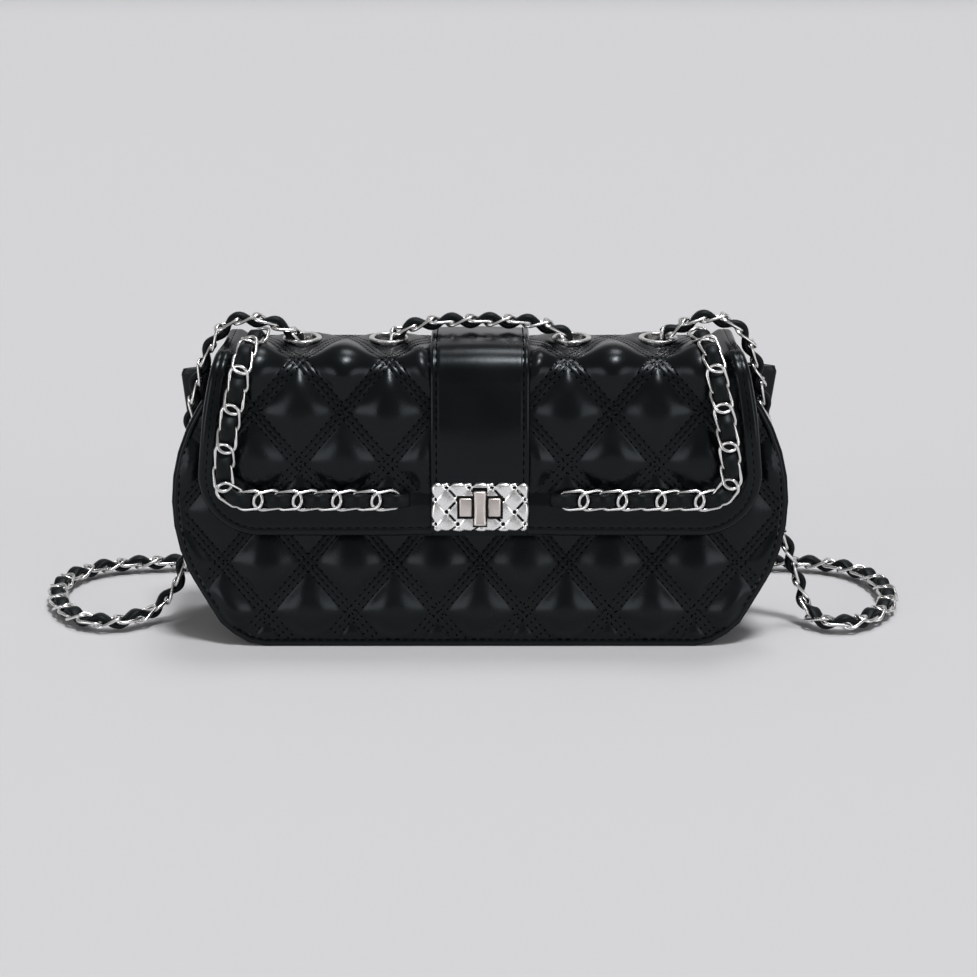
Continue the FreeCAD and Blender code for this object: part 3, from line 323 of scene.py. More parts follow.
def rounded(fall, reach, inset):
    """Fall of a rounded edge, reach wide, at a distance inside it."""
    return fall * (1 - math.sqrt(max(0.0, 1 - (1 - min(1, inset / reach)) ** 2)))


# Surfaces of the bag

def on_front(x, out, up):
    """Point out from the front panel's inner face and up along it."""
    return Vector((
        x,
        -PANEL_PLACE - out * math.cos(FRONT_LEAN) + up * math.sin(FRONT_LEAN),
        up * math.cos(FRONT_LEAN) + out * math.sin(FRONT_LEAN),
    ))


def on_back(x, out, up):
    """Point out from the back panel's inner face and up along it."""
    return Vector((
        x,
        PANEL_PLACE + out * math.cos(BACK_LEAN) - up * math.sin(BACK_LEAN),
        up * math.cos(BACK_LEAN) + out * math.sin(BACK_LEAN),
    ))


ROLL_SWEEP = math.pi / 2 - FRONT_LEAN - TOP_SLOPE
ROLL_CENTRE = on_front(0, FLAP_FACE - ROLL_REACH, ROLL_HEIGHT)
ROLL_START = ROLL_HEIGHT - FLAP_BOTTOM
ROLL_LENGTH = ROLL_REACH * ROLL_SWEEP
TOP_NORMAL = Vector((0, -math.sin(TOP_SLOPE), math.cos(TOP_SLOPE)))
TOP_WAY = Vector((0, math.cos(TOP_SLOPE), math.sin(TOP_SLOPE)))
BACK_NORMAL = Vector((0, math.cos(BACK_LEAN), math.sin(BACK_LEAN)))
TOP_EDGE = ROLL_CENTRE + TOP_NORMAL * ROLL_REACH


def crest_centre():
    """Centre of the crest, which touches the top and the back panel's outer face."""
    level = TOP_NORMAL.dot(TOP_EDGE) - CREST_REACH
    depth = BACK_NORMAL.dot(on_back(0, PANEL_THICKNESS, 0)) - CREST_REACH
    rows = Matrix(((TOP_NORMAL.y, TOP_NORMAL.z), (BACK_NORMAL.y, BACK_NORMAL.z)))
    place = rows.inverted() @ Vector((level, depth))
    return Vector((0, place.x, place.y))


CREST_CENTRE = crest_centre()
TOP_LENGTH = TOP_WAY.dot(CREST_CENTRE - TOP_EDGE)
CREST_SWEEP = math.pi / 2 + TOP_SLOPE - BACK_LEAN
TOP_START = ROLL_START + ROLL_LENGTH
CREST_START = TOP_START + TOP_LENGTH
SKIN_END = CREST_START + CREST_REACH * CREST_SWEEP
EYELET_ALONG = TOP_START + EYELET_SETBACK
BACK_TOP = CREST_CENTRE.z / math.cos(BACK_LEAN)


def over_top(x, along, lift):
    """Point on the skin of flap and top: along from the lower edge, lift out of the CAD's outer face."""
    lift += FLAP_BULGE * hill(BULGE_LOW, BULGE_HIGH, along)
    tuck = smooth_step(*TUCK_RISE, along) * (1 - smooth_step(*TUCK_FALL, along))
    tuck *= smooth_step(TUCK_SIDE, FLAP_HALF, abs(x))
    x -= math.copysign(SHOULDER_TUCK * tuck, x)
    if along <= ROLL_START:
        return on_front(x, FLAP_FACE + lift, FLAP_BOTTOM + along)
    if along <= TOP_START:
        angle = FRONT_LEAN + (along - ROLL_START) / ROLL_REACH
        reach = ROLL_REACH + lift
        return Vector((x, ROLL_CENTRE.y - reach * math.cos(angle), ROLL_CENTRE.z + reach * math.sin(angle)))
    if along <= CREST_START:
        return TOP_EDGE + TOP_WAY * (along - TOP_START) + TOP_NORMAL * lift + Vector((x, 0, 0))
    angle = math.pi / 2 + TOP_SLOPE - min(CREST_SWEEP, (along - CREST_START) / CREST_REACH)
    reach = CREST_REACH + lift
    place = CREST_CENTRE + Vector((x, reach * math.cos(angle), reach * math.sin(angle)))
    past = max(0.0, along - SKIN_END)
    return place + Vector((0, BACK_NORMAL.z, -BACK_NORMAL.y)) * past


def body_half(height):
    """Half the width of the front and back outline at a height along the panel."""
    low_reach = WIDEST_HALF - BASE_HALF
    low_radius = (low_reach ** 2 + WIDEST_HEIGHT ** 2) / (2 * low_reach)
    high_reach = WIDEST_HALF - SHOULDER_HALF
    rise = SHOULDER_HEIGHT - WIDEST_HEIGHT
    high_radius = (high_reach ** 2 + rise ** 2) / (2 * high_reach)
    if height <= WIDEST_HEIGHT:
        fuller = CORNER_FULLNESS * bell(height - CORNER_HEIGHT, CORNER_REACH)
        return WIDEST_HALF - low_radius + math.sqrt(low_radius ** 2 - (WIDEST_HEIGHT - height) ** 2) + fuller
    if height <= SHOULDER_HEIGHT:
        return WIDEST_HALF - high_radius + math.sqrt(high_radius ** 2 - (height - WIDEST_HEIGHT) ** 2)
    slope = rise / (high_radius - high_reach)
    return SHOULDER_HALF - slope * (height - SHOULDER_HEIGHT)


def top_swell(along):
    """Rise of the padded roll and top over the CAD's, where nothing holds the leather down."""
    return TOP_SWELL * hill(SWELL_START, SWELL_END, along)


def side_half(along):
    """Half the width of the flap and top at a place along the skin, above the lower corners."""
    share = (along - FLAP_CORNER) / (SKIN_END - FLAP_CORNER)
    return FLAP_HALF + (CREST_HALF - FLAP_HALF) * share


# Making meshes

def mapped_grid(columns, rows, place):
    """Grid whose points are carried to place(u, v), with u and v from 0 to 1."""
    bm = bmesh.new()
    bmesh.ops.create_grid(bm, x_segments=columns, y_segments=rows, size=0.5)
    for vert in bm.verts:
        vert.co = place(vert.co.x + 0.5, vert.co.y + 0.5)
    return bm


def close_up(bm):
    """Joins the seams of a closed shape and turns its faces outwards."""
    bmesh.ops.remove_doubles(bm, verts=bm.verts[:], dist=1e-4)
    bmesh.ops.recalc_face_normals(bm, faces=bm.faces[:])


def close_tube(bm):
    """Joins the seam of a strip that is rolled into a tube, and closes its ends."""
    close_up(bm)
    loops = [edge for edge in bm.edges if edge.is_boundary]
    bmesh.ops.holes_fill(bm, edges=loops, sides=0)
    bmesh.ops.recalc_face_normals(bm, faces=bm.faces[:])


def bevel(bm, edges, offset, segments):
    """Rounds edges."""
    bmesh.ops.bevel(
        bm, geom=edges, offset=offset, offset_type="OFFSET", segments=segments, profile=0.5, affect="EDGES",
        material=-1,
    )


def make_piece(name, bm, material, crease=None):
    """Object from a mesh in millimetres, smooth but for edges sharper than crease."""
    bmesh.ops.scale(bm, vec=(METRES, METRES, METRES), verts=bm.verts[:])
    mesh = bpy.data.meshes.new(name)
    bm.to_mesh(mesh)
    bm.free()
    mesh.shade_smooth()
    if crease is not None:
        mesh.set_sharp_from_angle(angle=math.radians(crease))
    mesh.materials.append(material)
    piece = bpy.data.objects.new(name, mesh)
    bpy.context.scene.collection.objects.link(piece)
    return piece


def blend_flap(piece):
    """Bakes the piece's transform into its mesh; the points at the roll's two ends are worked out but not
    used.
    """
    start = over_top(0, TOP_START + 1, 0) * METRES
    end = over_top(0, ROLL_START - 1, 0) * METRES
    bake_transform(piece)


def repeat(bm, step, count):
    """Doubles everything in bm along step until there are at least count of it."""
    made = 1
    while made < count:
        copies = bmesh.ops.duplicate(bm, geom=bm.verts[:] + bm.edges[:] + bm.faces[:])["geom"]
        moved = [part for part in copies if isinstance(part, bmesh.types.BMVert)]
        bmesh.ops.translate(bm, verts=moved, vec=Vector(step) * made)
        made *= 2


def one_stitch(length, thickness):
    """Small rounded stitch along X at the origin."""
    bm = bmesh.new()
    bmesh.ops.create_uvsphere(bm, u_segments=6, v_segments=4, radius=0.5)
    size = Matrix.Diagonal((length, thickness, thickness, 1))
    turn = Matrix.Rotation(math.pi / 2, 4, "Y")
    bmesh.ops.transform(bm, matrix=size @ turn, verts=bm.verts[:])
    return bm


def stitch_line(pitch, length, place, thickness=0.6):
    """Row of stitches carried to place(distance, across, lift)."""
    bm = one_stitch(pitch * 0.7, thickness)
    count = int(length / pitch)
    bmesh.ops.translate(bm, verts=bm.verts[:], vec=(pitch / 2, 0, 0))
    repeat(bm, (pitch, 0, 0), count)
    spare = [vert for vert in bm.verts if vert.co.x > count * pitch]
    bmesh.ops.delete(bm, geom=spare, context="VERTS")
    for vert in bm.verts:
        vert.co = place(vert.co.x, vert.co.y, vert.co.z)
    return bm


def sew_edge(name, bm, settle):
    """Piece from rows of stitches along an edge, settled on its body."""
    bmesh.ops.recalc_face_normals(bm, faces=bm.faces[:])
    settle(make_piece(name, bm, FINISHES["edge_thread"]))


def join_meshes(parts):
    """One bmesh from several."""
    whole = bmesh.new()
    for part in parts:
        mesh = bpy.data.meshes.new("part")
        part.to_mesh(mesh)
        part.free()
        whole.from_mesh(mesh)
        bpy.data.meshes.remove(mesh)
    return whole


# Materials

def new_material(name):
    """Material with its node tree and its shader."""
    material = bpy.data.materials.new(name)
    material.use_nodes = True
    shader = material.node_tree.nodes["Principled BSDF"]
    return material, material.node_tree, shader


def add_node(tree, kind, **values):
    """Node with its input sockets set by name, underscores for spaces."""
    made = tree.nodes.new(kind)
    for key, value in values.items():
        made.inputs[key.replace("_", " ")].default_value = value
    return made


def object_noise(tree, scale, detail=2.0):
    """Noise on the object's own coordinates, in features per metre."""
    coordinates = tree.nodes.new("ShaderNodeTexCoord")
    texture = add_node(tree, "ShaderNodeTexNoise", Scale=scale, Detail=detail)
    tree.links.new(coordinates.outputs["Object"], texture.inputs["Vector"])
    return texture


def spread(tree, source, low, high, start=0.3, end=0.7):
    """Carries a pattern's middle range to values from low to high."""
    ranged = add_node(tree, "ShaderNodeMapRange", From_Min=start, From_Max=end, To_Min=low, To_Max=high)
    tree.links.new(source, ranged.inputs["Value"])
    return ranged.outputs["Result"]


def two_tone(tree, factor, first, second):
    """Mix of two colours."""
    mix = tree.nodes.new("ShaderNodeMix")
    mix.data_type = "RGBA"
    mix.inputs["A"].default_value = (*first, 1)
    mix.inputs["B"].default_value = (*second, 1)
    tree.links.new(factor, mix.inputs["Factor"])
    return mix.outputs["Result"]


def bump(tree, height, strength, distance, under=None):
    """Normal of a fine relief, over another where there is one."""
    made = add_node(tree, "ShaderNodeBump", Strength=strength, Distance=distance)
    tree.links.new(height, made.inputs["Height"])
    if under is not None:
        tree.links.new(under, made.inputs["Normal"])
    return made.outputs["Normal"]


def leather_material(name, colour, worn, rough_low, rough_high, grain, gloss=0.24):
    """Close-grained leather: fine pebbles, faint creases, uneven gloss and slightly lighter rubbed places."""
    material, tree, shader = new_material(name)
    coordinates = tree.nodes.new("ShaderNodeTexCoord")
    pebbles = add_node(tree, "ShaderNodeTexVoronoi", Scale=1500.0)
    pebbles.feature = "SMOOTH_F1"
    tree.links.new(coordinates.outputs["Object"], pebbles.inputs["Vector"])
    creases = object_noise(tree, 420.0, 3.0)
    wear = object_noise(tree, 60.0, 4.0)
    tone = two_tone(tree, spread(tree, wear.outputs["Fac"], 0, 1), colour, worn)
    tree.links.new(tone, shader.inputs["Base Color"])
    tree.links.new(spread(tree, wear.outputs["Fac"], rough_low, rough_high), shader.inputs["Roughness"])
    fine = bump(tree, pebbles.outputs["Distance"], grain, 0.00012)
    tree.links.new(bump(tree, creases.outputs["Fac"], grain, 0.0003, fine), shader.inputs["Normal"])
    shader.inputs["Specular IOR Level"].default_value = gloss
    shader.inputs["Specular Tint"].default_value = (0.88, 0.97, 1.0, 1)
    return material


def metal_material(name, colour, rough_low, rough_high, brushed):
    """Plated metal with faint scratches and an uneven polish."""
    material, tree, shader = new_material(name)
    coordinates = tree.nodes.new("ShaderNodeTexCoord")
    stretch = add_node(tree, "ShaderNodeMapping", Scale=(brushed, 1.0, 1.0))
    tree.links.new(coordinates.outputs["Object"], stretch.inputs["Vector"])
    scratches = add_node(tree, "ShaderNodeTexNoise", Scale=1600.0, Detail=2.0)
    tree.links.new(stretch.outputs["Vector"], scratches.inputs["Vector"])
    cloud = object_noise(tree, 180.0, 3.0)
    dull = tuple(value * 0.86 for value in colour)
    tone = two_tone(tree, spread(tree, cloud.outputs["Fac"], 0, 1), colour, dull)
    tree.links.new(tone, shader.inputs["Base Color"])
    tree.links.new(spread(tree, cloud.outputs["Fac"], rough_low, rough_high), shader.inputs["Roughness"])
    tree.links.new(bump(tree, scratches.outputs["Fac"], 0.06, 0.0001), shader.inputs["Normal"])
    shader.inputs["Metallic"].default_value = 1.0
    return material


def woven_metal_material(name, colour, dark):
    """Cast silver, darker where the mesh says that it lies deep."""
    material, tree, shader = new_material(name)
    cloud = object_noise(tree, 900.0, 3.0)
    depth = tree.nodes.new("ShaderNodeAttribute")
    depth.attribute_name = "depth_tone"
    tree.links.new(two_tone(tree, depth.outputs["Fac"], dark, colour), shader.inputs["Base Color"])
    tree.links.new(spread(tree, cloud.outputs["Fac"], 0.24, 0.36), shader.inputs["Roughness"])
    tree.links.new(bump(tree, cloud.outputs["Fac"], 0.1, 0.0002), shader.inputs["Normal"])
    shader.inputs["Metallic"].default_value = 1.0
    return material


def cloth_material(name, colour, thread, scale):
    """Woven cloth: two crossing sets of threads."""
    material, tree, shader = new_material(name)
    coordinates = tree.nodes.new("ShaderNodeTexCoord")
    waves = []
    for direction in ("X", "Z"):
        wave = add_node(tree, "ShaderNodeTexWave", Scale=scale, Distortion=0.4)
        wave.bands_direction = direction
        tree.links.new(coordinates.outputs["Object"], wave.inputs["Vector"])
        waves.append(wave)
    weave = tree.nodes.new("ShaderNodeMath")
    weave.operation = "MULTIPLY"
    tree.links.new(waves[0].outputs["Fac"], weave.inputs[0])
    tree.links.new(waves[1].outputs["Fac"], weave.inputs[1])
    tree.links.new(two_tone(tree, weave.outputs["Value"], colour, thread), shader.inputs["Base Color"])
    tree.links.new(bump(tree, weave.outputs["Value"], 0.4, 0.0002), shader.inputs["Normal"])
    shader.inputs["Roughness"].default_value = 0.85
    shader.inputs["Sheen Weight"].default_value = 0.2
    return material


FINISHES = {}


def make_finishes(leather, chain):
    """All the finishes, once."""
    colour = tuple(leather.colour)
    worn = tuple(leather.bright)
    FINISHES["quilted"] = leather_material("quilted leather", colour, worn, 0.22, 0.31, 0.12)
    FINISHES["plain"] = leather_material("plain leather", colour, worn, 0.2, 0.28, 0.1)
    FINISHES["lace"] = leather_material("lace leather", colour, worn, 0.4, 0.55, 0.2, 0.2)
    FINISHES["thread"] = leather_material(
        "stitching thread", (0.006, 0.007, 0.0075), (0.01, 0.011, 0.012), 0.5, 0.65, 0.4, 0.12,
    )
    # Needle holes: near-black matte discs sunk between the stitches, painted shade of the holes
    FINISHES["hole"] = leather_material(
        "needle holes", (0.0004, 0.0004, 0.0004), (0.001, 0.001, 0.001), 0.85, 0.95, 0.2, 0.0,
    )
    FINISHES["edge_thread"] = leather_material(
        "edge thread", (0.0006, 0.0006, 0.0007), worn, 0.6, 0.75, 0.4, 0.03,
    )
    FINISHES["silver"] = metal_material("polished silver", tuple(chain.silver), 0.2, 0.3, 1.0)
    # The second colour is near black, used where the woven relief lies deep
    FINISHES["woven"] = woven_metal_material("cast silver", (0.93, 0.93, 0.92), (0.02, 0.02, 0.02))
    FINISHES["nickel"] = metal_material("satin nickel", (0.84, 0.775, 0.735), 0.3, 0.42, 0.08)
    # Dark plating on the lock's liner paints the shadow in the gaps round the boss and toggle
    FINISHES["dark"] = metal_material("painted gap shadow plating", (0.03, 0.028, 0.027), 0.35, 0.5, 1.0)
    FINISHES["lining"] = cloth_material("lining cloth", (0.016, 0.016, 0.018), (0.04, 0.04, 0.044), 500.0)
    FINISHES["board"] = cloth_material("base board cover", (0.03, 0.03, 0.032), (0.055, 0.055, 0.058), 350.0)


# Quilting

class Quilt:
    """Diamond lattice on a flat sheet, with bands of three stitch rows along its lines."""

    band_margin = 0.75
    dome_power = 2.4
    uneven = 0.16
    uneven_scale = 0.045
    row_width = 0.27
    middle_row_depth = 0.16
    outer_row_depth = 0.22
    # hole_size and hole_rise: the black discs that paint the shade of the needle holes
    hole_size = (1.35, 1.15)
    thread_share = 0.6
    thread_thickness = 0.5
    thread_rise = -0.05
    hole_rise = -0.36

    def __init__(self, leather, crossing, puff, wide, tall, aside=0.0, bend=1000.0, stretch=1.0):
        self.bend = bend
        self.stretch = stretch
        self.wide = wide
        self.tall = tall
        self.crossing = crossing
        self.aside = aside
        self.puff = puff
        self.row_gap = mm(leather.row_gap)
        self.pitch = mm(leather.stitch_pitch)
        self.spacing = 1 / math.hypot(1 / self.wide, 1 / self.tall)
        self.band = self.row_gap + self.band_margin

    def stretched(self, level):
        """Place along the sheet of an even level, beyond the bend further apart."""
        return level + max(0.0, level - self.bend) * (self.stretch - 1)

    def level(self, along):
        """Even level of a place along the sheet."""
        return along - max(0.0, along - self.bend) * (1 - 1 / self.stretch)

    def lattice(self, x, along):
        """Place in the lattice, where whole numbers are stitched lines."""
        up = (self.level(along) - self.crossing) / self.tall
        over = (x - self.aside) / self.wide
        return over + up, over - up

    def sheet(self, first, second):
        """Place on the sheet of a place in the lattice."""
        x = self.aside + self.wide * (first + second) / 2
        return x, self.stretched(self.crossing + self.tall * (first - second) / 2)

    def from_lines(self, x, along):
        """Distances to the nearest line of each set."""
        return tuple(abs(value - round(value)) * self.spacing for value in self.lattice(x, along))

    def steps(self):
        """Places of the grid's lines within one period, closest together in the band."""
        half = self.spacing / 2
        out = [self.row_gap * quarter / 4 for quarter in range(1, 7)]
        swell = 6
        out += [out[-1] + (half - out[-1]) * (step / swell) ** 1.3 for step in range(1, swell)]
        near = [value / self.spacing for value in out]
        return [0.0] + near + [0.5] + [1 - value for value in reversed(near)]

    def dome(self, distance):
        """Share of the full padding at a distance from a line."""
        share = min(1.0, max(0.0, (distance - self.band) / (self.spacing / 2 - self.band)))
        return 1 - (1 - share) ** self.dome_power

    def rows(self, distance):
        """Depth of the needle rows at a distance from the middle of a band."""
        width = self.row_gap * self.row_width
        outer = self.outer_row_depth * bell(distance - self.row_gap, width)
        return self.middle_row_depth * bell(distance, width) + outer

    def height(self, x, along):
        """Rise of the padded leather over the bottom of its bands."""
        first, second = self.from_lines(x, along)
        swell = self.puff * self.dome(first) * self.dome(second)
        plump = 1 + self.uneven * noise.noise(Vector((x, along, self.crossing)) * self.uneven_scale)
        return swell * plump - max(self.rows(first), self.rows(second))

    def sheet_mesh(self, half_width, low, high):
        """Flat grid that runs along the stitched lines and covers the sheet."""
        steps = self.steps()
        reach = int(half_width / self.wide + (high - low) / self.tall) + 2
        count = 2 * reach * len(steps)
        bm = bmesh.new()
        bmesh.ops.create_grid(bm, x_segments=count, y_segments=count, size=0.5)
        outside = []
        margin = 4.0
        for vert in bm.verts:
            places = []
            for share in (vert.co.x, vert.co.y):
                index = round((share + 0.5) * count)
                places.append(index // len(steps) + steps[index % len(steps)] - reach)
            x, along = self.sheet(*places)
            vert.co = (x, along, 0)
            if abs(x) > half_width + margin or not low - margin < along < high + margin:
                outside.append(vert)
        bmesh.ops.delete(bm, geom=outside, context="VERTS")
        return bm

    def stitches(self, half_width, low, high, keep):
        """Flat stitches along both sets of lines where keep(x, along) says so, and between them matte black
        discs that paint the shade of the needle holes.
        """
        middle = Vector((self.aside, self.crossing, 0))
        reach = math.hypot(half_width, high - low) + self.spacing
        lines = int(reach / self.spacing)
        threads = []
        for side in (1, -1):
            way = Vector((self.wide, -side * self.tall, 0)).normalized()
            cross = Vector((self.tall, side * self.wide, 0)).normalized()
            for line in range(-lines, lines + 1):
                for row in (-1, 0, 1):
                    start = middle + cross * (line * self.spacing + row * self.row_gap)
                    limits = []
                    for place, slope, least, most in (
                        (start.x, way.x, -half_width, half_width), (start.y, way.y, low, high),
                    ):
                        limits.append(sorted(((least - place) / slope, (most - place) / slope)))
                    begin = max(limits[0][0], limits[1][0])
                    finish = min(limits[0][1], limits[1][1])
                    if finish - begin < self.pitch * 2:
                        continue
                    first = math.ceil(begin / self.pitch)
                    count = int(finish / self.pitch) - first
                    sewn = []
                    for index in range(first, first + count):
                        spot = start + way * index * self.pitch
                        if keep(spot.x, self.stretched(spot.y)):
                            sewn.append(index)
                    threads.append((start, way, cross, sewn))
        stitches = self.sew(threads, 0.0, self.pitch * self.thread_share, self.thread_thickness)
        return stitches, self.sew(threads, 0.5, *self.hole_size)

    def sew(self, rows, shift, length, thickness):
        """One small rounded shape at each place of the rows."""
        whole = bmesh.new()
        single = one_stitch(length, thickness)
        mesh = bpy.data.meshes.new("stitch")
        single.to_mesh(mesh)
        single.free()
        for start, way, cross, sewn in rows:
            turn = Matrix((way, cross, way.cross(cross))).transposed().to_4x4()
            for index in sewn:
                spot = start + way * ((index + shift) * self.pitch)
                copy = mesh.copy()
                copy.transform(Matrix.Translation(spot) @ turn)
                whole.from_mesh(copy)
                bpy.data.meshes.remove(copy)
        bpy.data.meshes.remove(mesh)
        return whole


def cut_sheet(bm, corners):
    """Keeps what lies inside a convex outline, whose corners go round anticlockwise."""
    for index, corner in enumerate(corners):
        ahead = corners[(index + 1) % len(corners)]
        way = Vector((ahead[0] - corner[0], ahead[1] - corner[1]))
        bmesh.ops.bisect_plane(
            bm, geom=bm.verts[:] + bm.edges[:] + bm.faces[:], dist=1e-5, plane_co=(*corner, 0),
            plane_no=(way.y, -way.x, 0), clear_outer=True,
        )


def punch(bm, x, along, radius):
    """Round hole through a flat sheet."""
    centre = Vector((x, along, 0))
    near = [face for face in bm.faces if (face.calc_center_median() - centre).length < radius + 8]
    edges = {edge for face in near for edge in face.edges}
    verts = {vert for face in near for vert in face.verts}
    geometry = near + sorted(edges, key=lambda edge: edge.index) + sorted(verts, key=lambda vert: vert.index)
    sides = 16
    for side in range(sides):
        angle = 2 * math.pi * side / sides
        way = Vector((math.cos(angle), math.sin(angle), 0))
        geometry = bmesh.ops.bisect_plane(
            bm, geom=geometry, dist=1e-5, plane_co=centre + way * radius, plane_no=way,
        )["geom"]
    inside = [face for face in bm.faces if (face.calc_center_median() - centre).length < radius]
    bmesh.ops.delete(bm, geom=inside, context="FACES")


def thicken(bm, place_outer, place_inner, shade=None):
    """Gives a flat sheet an inner layer and carries both to their places, with a tone by depth if shade tells
    it.
    """
    flat = 1.0
    bmesh.ops.solidify(bm, geom=bm.faces[:], thickness=flat)
    if shade is not None:
        depth_tone = bm.verts.layers.float.new("depth_tone")
    for vert in bm.verts:
        inner = abs(vert.co.z) > flat / 2
        if shade is not None:
            vert[depth_tone] = 0.3 if inner else shade(vert.co.x, vert.co.y)
        place = place_inner if inner else place_outer
        vert.co = place(vert.co.x, vert.co.y)
    bmesh.ops.recalc_face_normals(bm, faces=bm.faces[:])


def lay_stitches(name, quilt, half_width, low, high, keep, place, settle):
    """Sews a quilted sheet: threads, and black discs that paint the shade of the needle holes, carried to
    place(x, along, lift).
    """
    threads, holes = quilt.stitches(half_width, low, high, keep)
    for label, bm, finish, rise in (
        ("_stitching", threads, "thread", quilt.thread_rise),
        ("_needle_hole_shade", holes, "hole", quilt.hole_rise),
    ):
        for vert in bm.verts:
            vert.co = place(vert.co.x, quilt.stretched(vert.co.y), vert.co.z + rise)
        bmesh.ops.recalc_face_normals(bm, faces=bm.faces[:])
        settle(make_piece(name + label, bm, FINISHES[finish]))


def ride_shell(piece):
    """Fixes a piece to the shell."""
    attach(piece, "shell")


def flap_outline():
    """Corners of the skin from the flap's lower edge to the crest, anticlockwise."""
    right = [(FLAP_HALF - FLAP_CORNER, 0.0)]
    pieces = 10
    for step in range(1, pieces + 1):
        angle = math.pi / 2 * step / pieces
        x = FLAP_HALF - FLAP_CORNER + FLAP_CORNER * math.sin(angle)
        right.append((x, FLAP_CORNER - FLAP_CORNER * math.cos(angle)))
    right.append((CREST_HALF, SKIN_END))
    left = [(-x, along) for x, along in reversed(right)]
    return right + left


def panel_outline(top):
    """Corners of the front or back panel, anticlockwise."""
    heights = [0, 1.5, 5, 10, 16, 23, 31, 40, 50, 60, 70, 80, 90, SHOULDER_HEIGHT, top]
    halves = [BASE_HALF - 3] + [body_half(height) for height in heights[1:]]
    right = list(zip(halves, heights))
    return right + [(-x, height) for x, height in reversed(right)]


def panel_inset(x, height):
    """Distance inside a panel's side and lower edges, about."""
    step = 0.5
    slope = (body_half(height + step) - body_half(max(0.0, height - step))) / (2 * step)
    return min(height, (body_half(height) - abs(x)) / math.hypot(1, slope))


def room_place(share):
    """Place across the stage in metres, for a share from 0 to 1."""
    return STAGE_REACH * (2 * share - 1)


def stage_sheet(name, bm, material):
    """Flat sheet of paper that belongs to the stage."""
    mesh = bpy.data.meshes.new(name)
    bm.to_mesh(mesh)
    bm.free()
    mesh.materials.append(material)
    sheet = bpy.data.objects.new(name, mesh)
    bpy.context.scene.collection.objects.link(sheet)


class BAG_OT_stage(Operator):
    """Camera at the photograph's angle, pale floor and soft light from above"""

    bl_idname = "bag.stage"
    bl_label = "Stage"

    def execute(self, context):
        stage = context.scene.bag_stage
        data = bpy.data.cameras.new("camera")
        data.lens = stage.lens
        data.sensor_width = 36.0
        camera = bpy.data.objects.new("camera", data)
        context.scene.collection.objects.link(camera)
        back = Vector((0, -math.cos(stage.elevation), math.sin(stage.elevation)))
        camera.location = Vector(stage.target) + back * stage.distance
        camera.rotation_euler = (math.pi / 2 - stage.elevation, 0, 0)
        context.scene.camera = camera
        context.scene.view_settings.view_transform = "Standard"

        material, tree, shader = new_material("floor paper")
        tooth = object_noise(tree, 900.0, 2.0)
        tree.links.new(bump(tree, tooth.outputs["Fac"], 0.05, 0.0002), shader.inputs["Normal"])
        shader.inputs["Base Color"].default_value = (*stage.floor, 1)
        shader.inputs["Roughness"].default_value = 0.9
        shader.inputs["Specular IOR Level"].default_value = 0.1
        bm = mapped_grid(8, 8, lambda u, v: Vector((room_place(u), room_place(v), 0)))
        stage_sheet("floor", bm, material)

        self.wall(stage)
        world = bpy.data.worlds.new("studio")
        context.scene.world = world
        world.use_nodes = True
        background = world.node_tree.nodes["Background"]
        background.inputs["Color"].default_value = (1, 1, 1, 1)
        background.inputs["Strength"].default_value = stage.sky

        self.lamp(context, "key", stage.key, 12.5, (18, 9, 0))
        self.lamp(context, "rear", stage.rear, 18, (-14, 8, 0))
        self.lamp(context, "left", stage.side, 32, (82, 0, -47))
        self.lamp(context, "right", stage.side, 32, (82, 0, 47))
        return {"FINISHED"}

    def wall(self, stage):
        """Pale wall far behind the bag, which polished surfaces show in the colour of the background."""
        material, tree, shader = new_material("backdrop paper")
        shader.inputs["Base Color"].default_value = (0.2, 0.2, 0.2, 1)
        shader.inputs["Roughness"].default_value = 0.9
        glow = add_node(tree, "ShaderNodeEmission", Color=(*stage.backdrop, 1), Strength=1.0)
        path = tree.nodes.new("ShaderNodeLightPath")
        shown = path.outputs["Is Camera Ray"]
        for ray in ("Is Glossy Ray", "Is Transmission Ray"):
            either = tree.nodes.new("ShaderNodeMath")
            either.operation = "MAXIMUM"
            tree.links.new(shown, either.inputs[0])
            tree.links.new(path.outputs[ray], either.inputs[1])
            shown = either.outputs["Value"]
        mix = tree.nodes.new("ShaderNodeMixShader")
        tree.links.new(shown, mix.inputs["Fac"])
        tree.links.new(shader.outputs["BSDF"], mix.inputs[1])
        tree.links.new(glow.outputs["Emission"], mix.inputs[2])
        tree.links.new(mix.outputs["Shader"], tree.nodes["Material Output"].inputs["Surface"])
        bm = mapped_grid(6, 6, lambda u, v: Vector((room_place(u), WALL_PLACE, WALL_HEIGHT * v)))
        stage_sheet("backdrop", bm, material)

    def lamp(self, context, name, strength, wide, turn):
        """Sun lamp with a wide disc, turned from straight down."""
        data = bpy.data.lights.new(name, "SUN")
        data.energy = strength
        data.angle = math.radians(wide)
        data.color = (0.98, 0.97, 1.0)
        lamp = bpy.data.objects.new(name, data)
        lamp.rotation_euler = tuple(math.radians(angle) for angle in turn)
        lamp.location = (0, 0, 1.5)
        context.scene.collection.objects.link(lamp)


class Way:
    """Smooth line with a distance along it, and the side that a chain's flat face is turned to."""

    def __init__(self, points, normals):
        self.points = points
        self.normals = normals
        self.marks = [0.0]
        for before, after in zip(points, points[1:]):
            self.marks.append(self.marks[-1] + (after - before).length)
        self.length = self.marks[-1]

    def at(self, distance):
        """Place, direction and flat side at a distance."""
        distance = min(self.length, max(0.0, distance))
        low = min(bisect.bisect_right(self.marks, distance) - 1, len(self.marks) - 2)
        high = low + 1
        share = (distance - self.marks[low]) / max(1e-9, self.marks[high] - self.marks[low])
        place = self.points[low].lerp(self.points[high], share)
        before = self.points[max(0, low - 1)]
        after = self.points[min(len(self.points) - 1, high + 1)]
        way = (after - before).normalized()
        flat = self.normals[low].lerp(self.normals[high], share)
        flat = (flat - way * flat.dot(way)).normalized()
        return place, way, flat


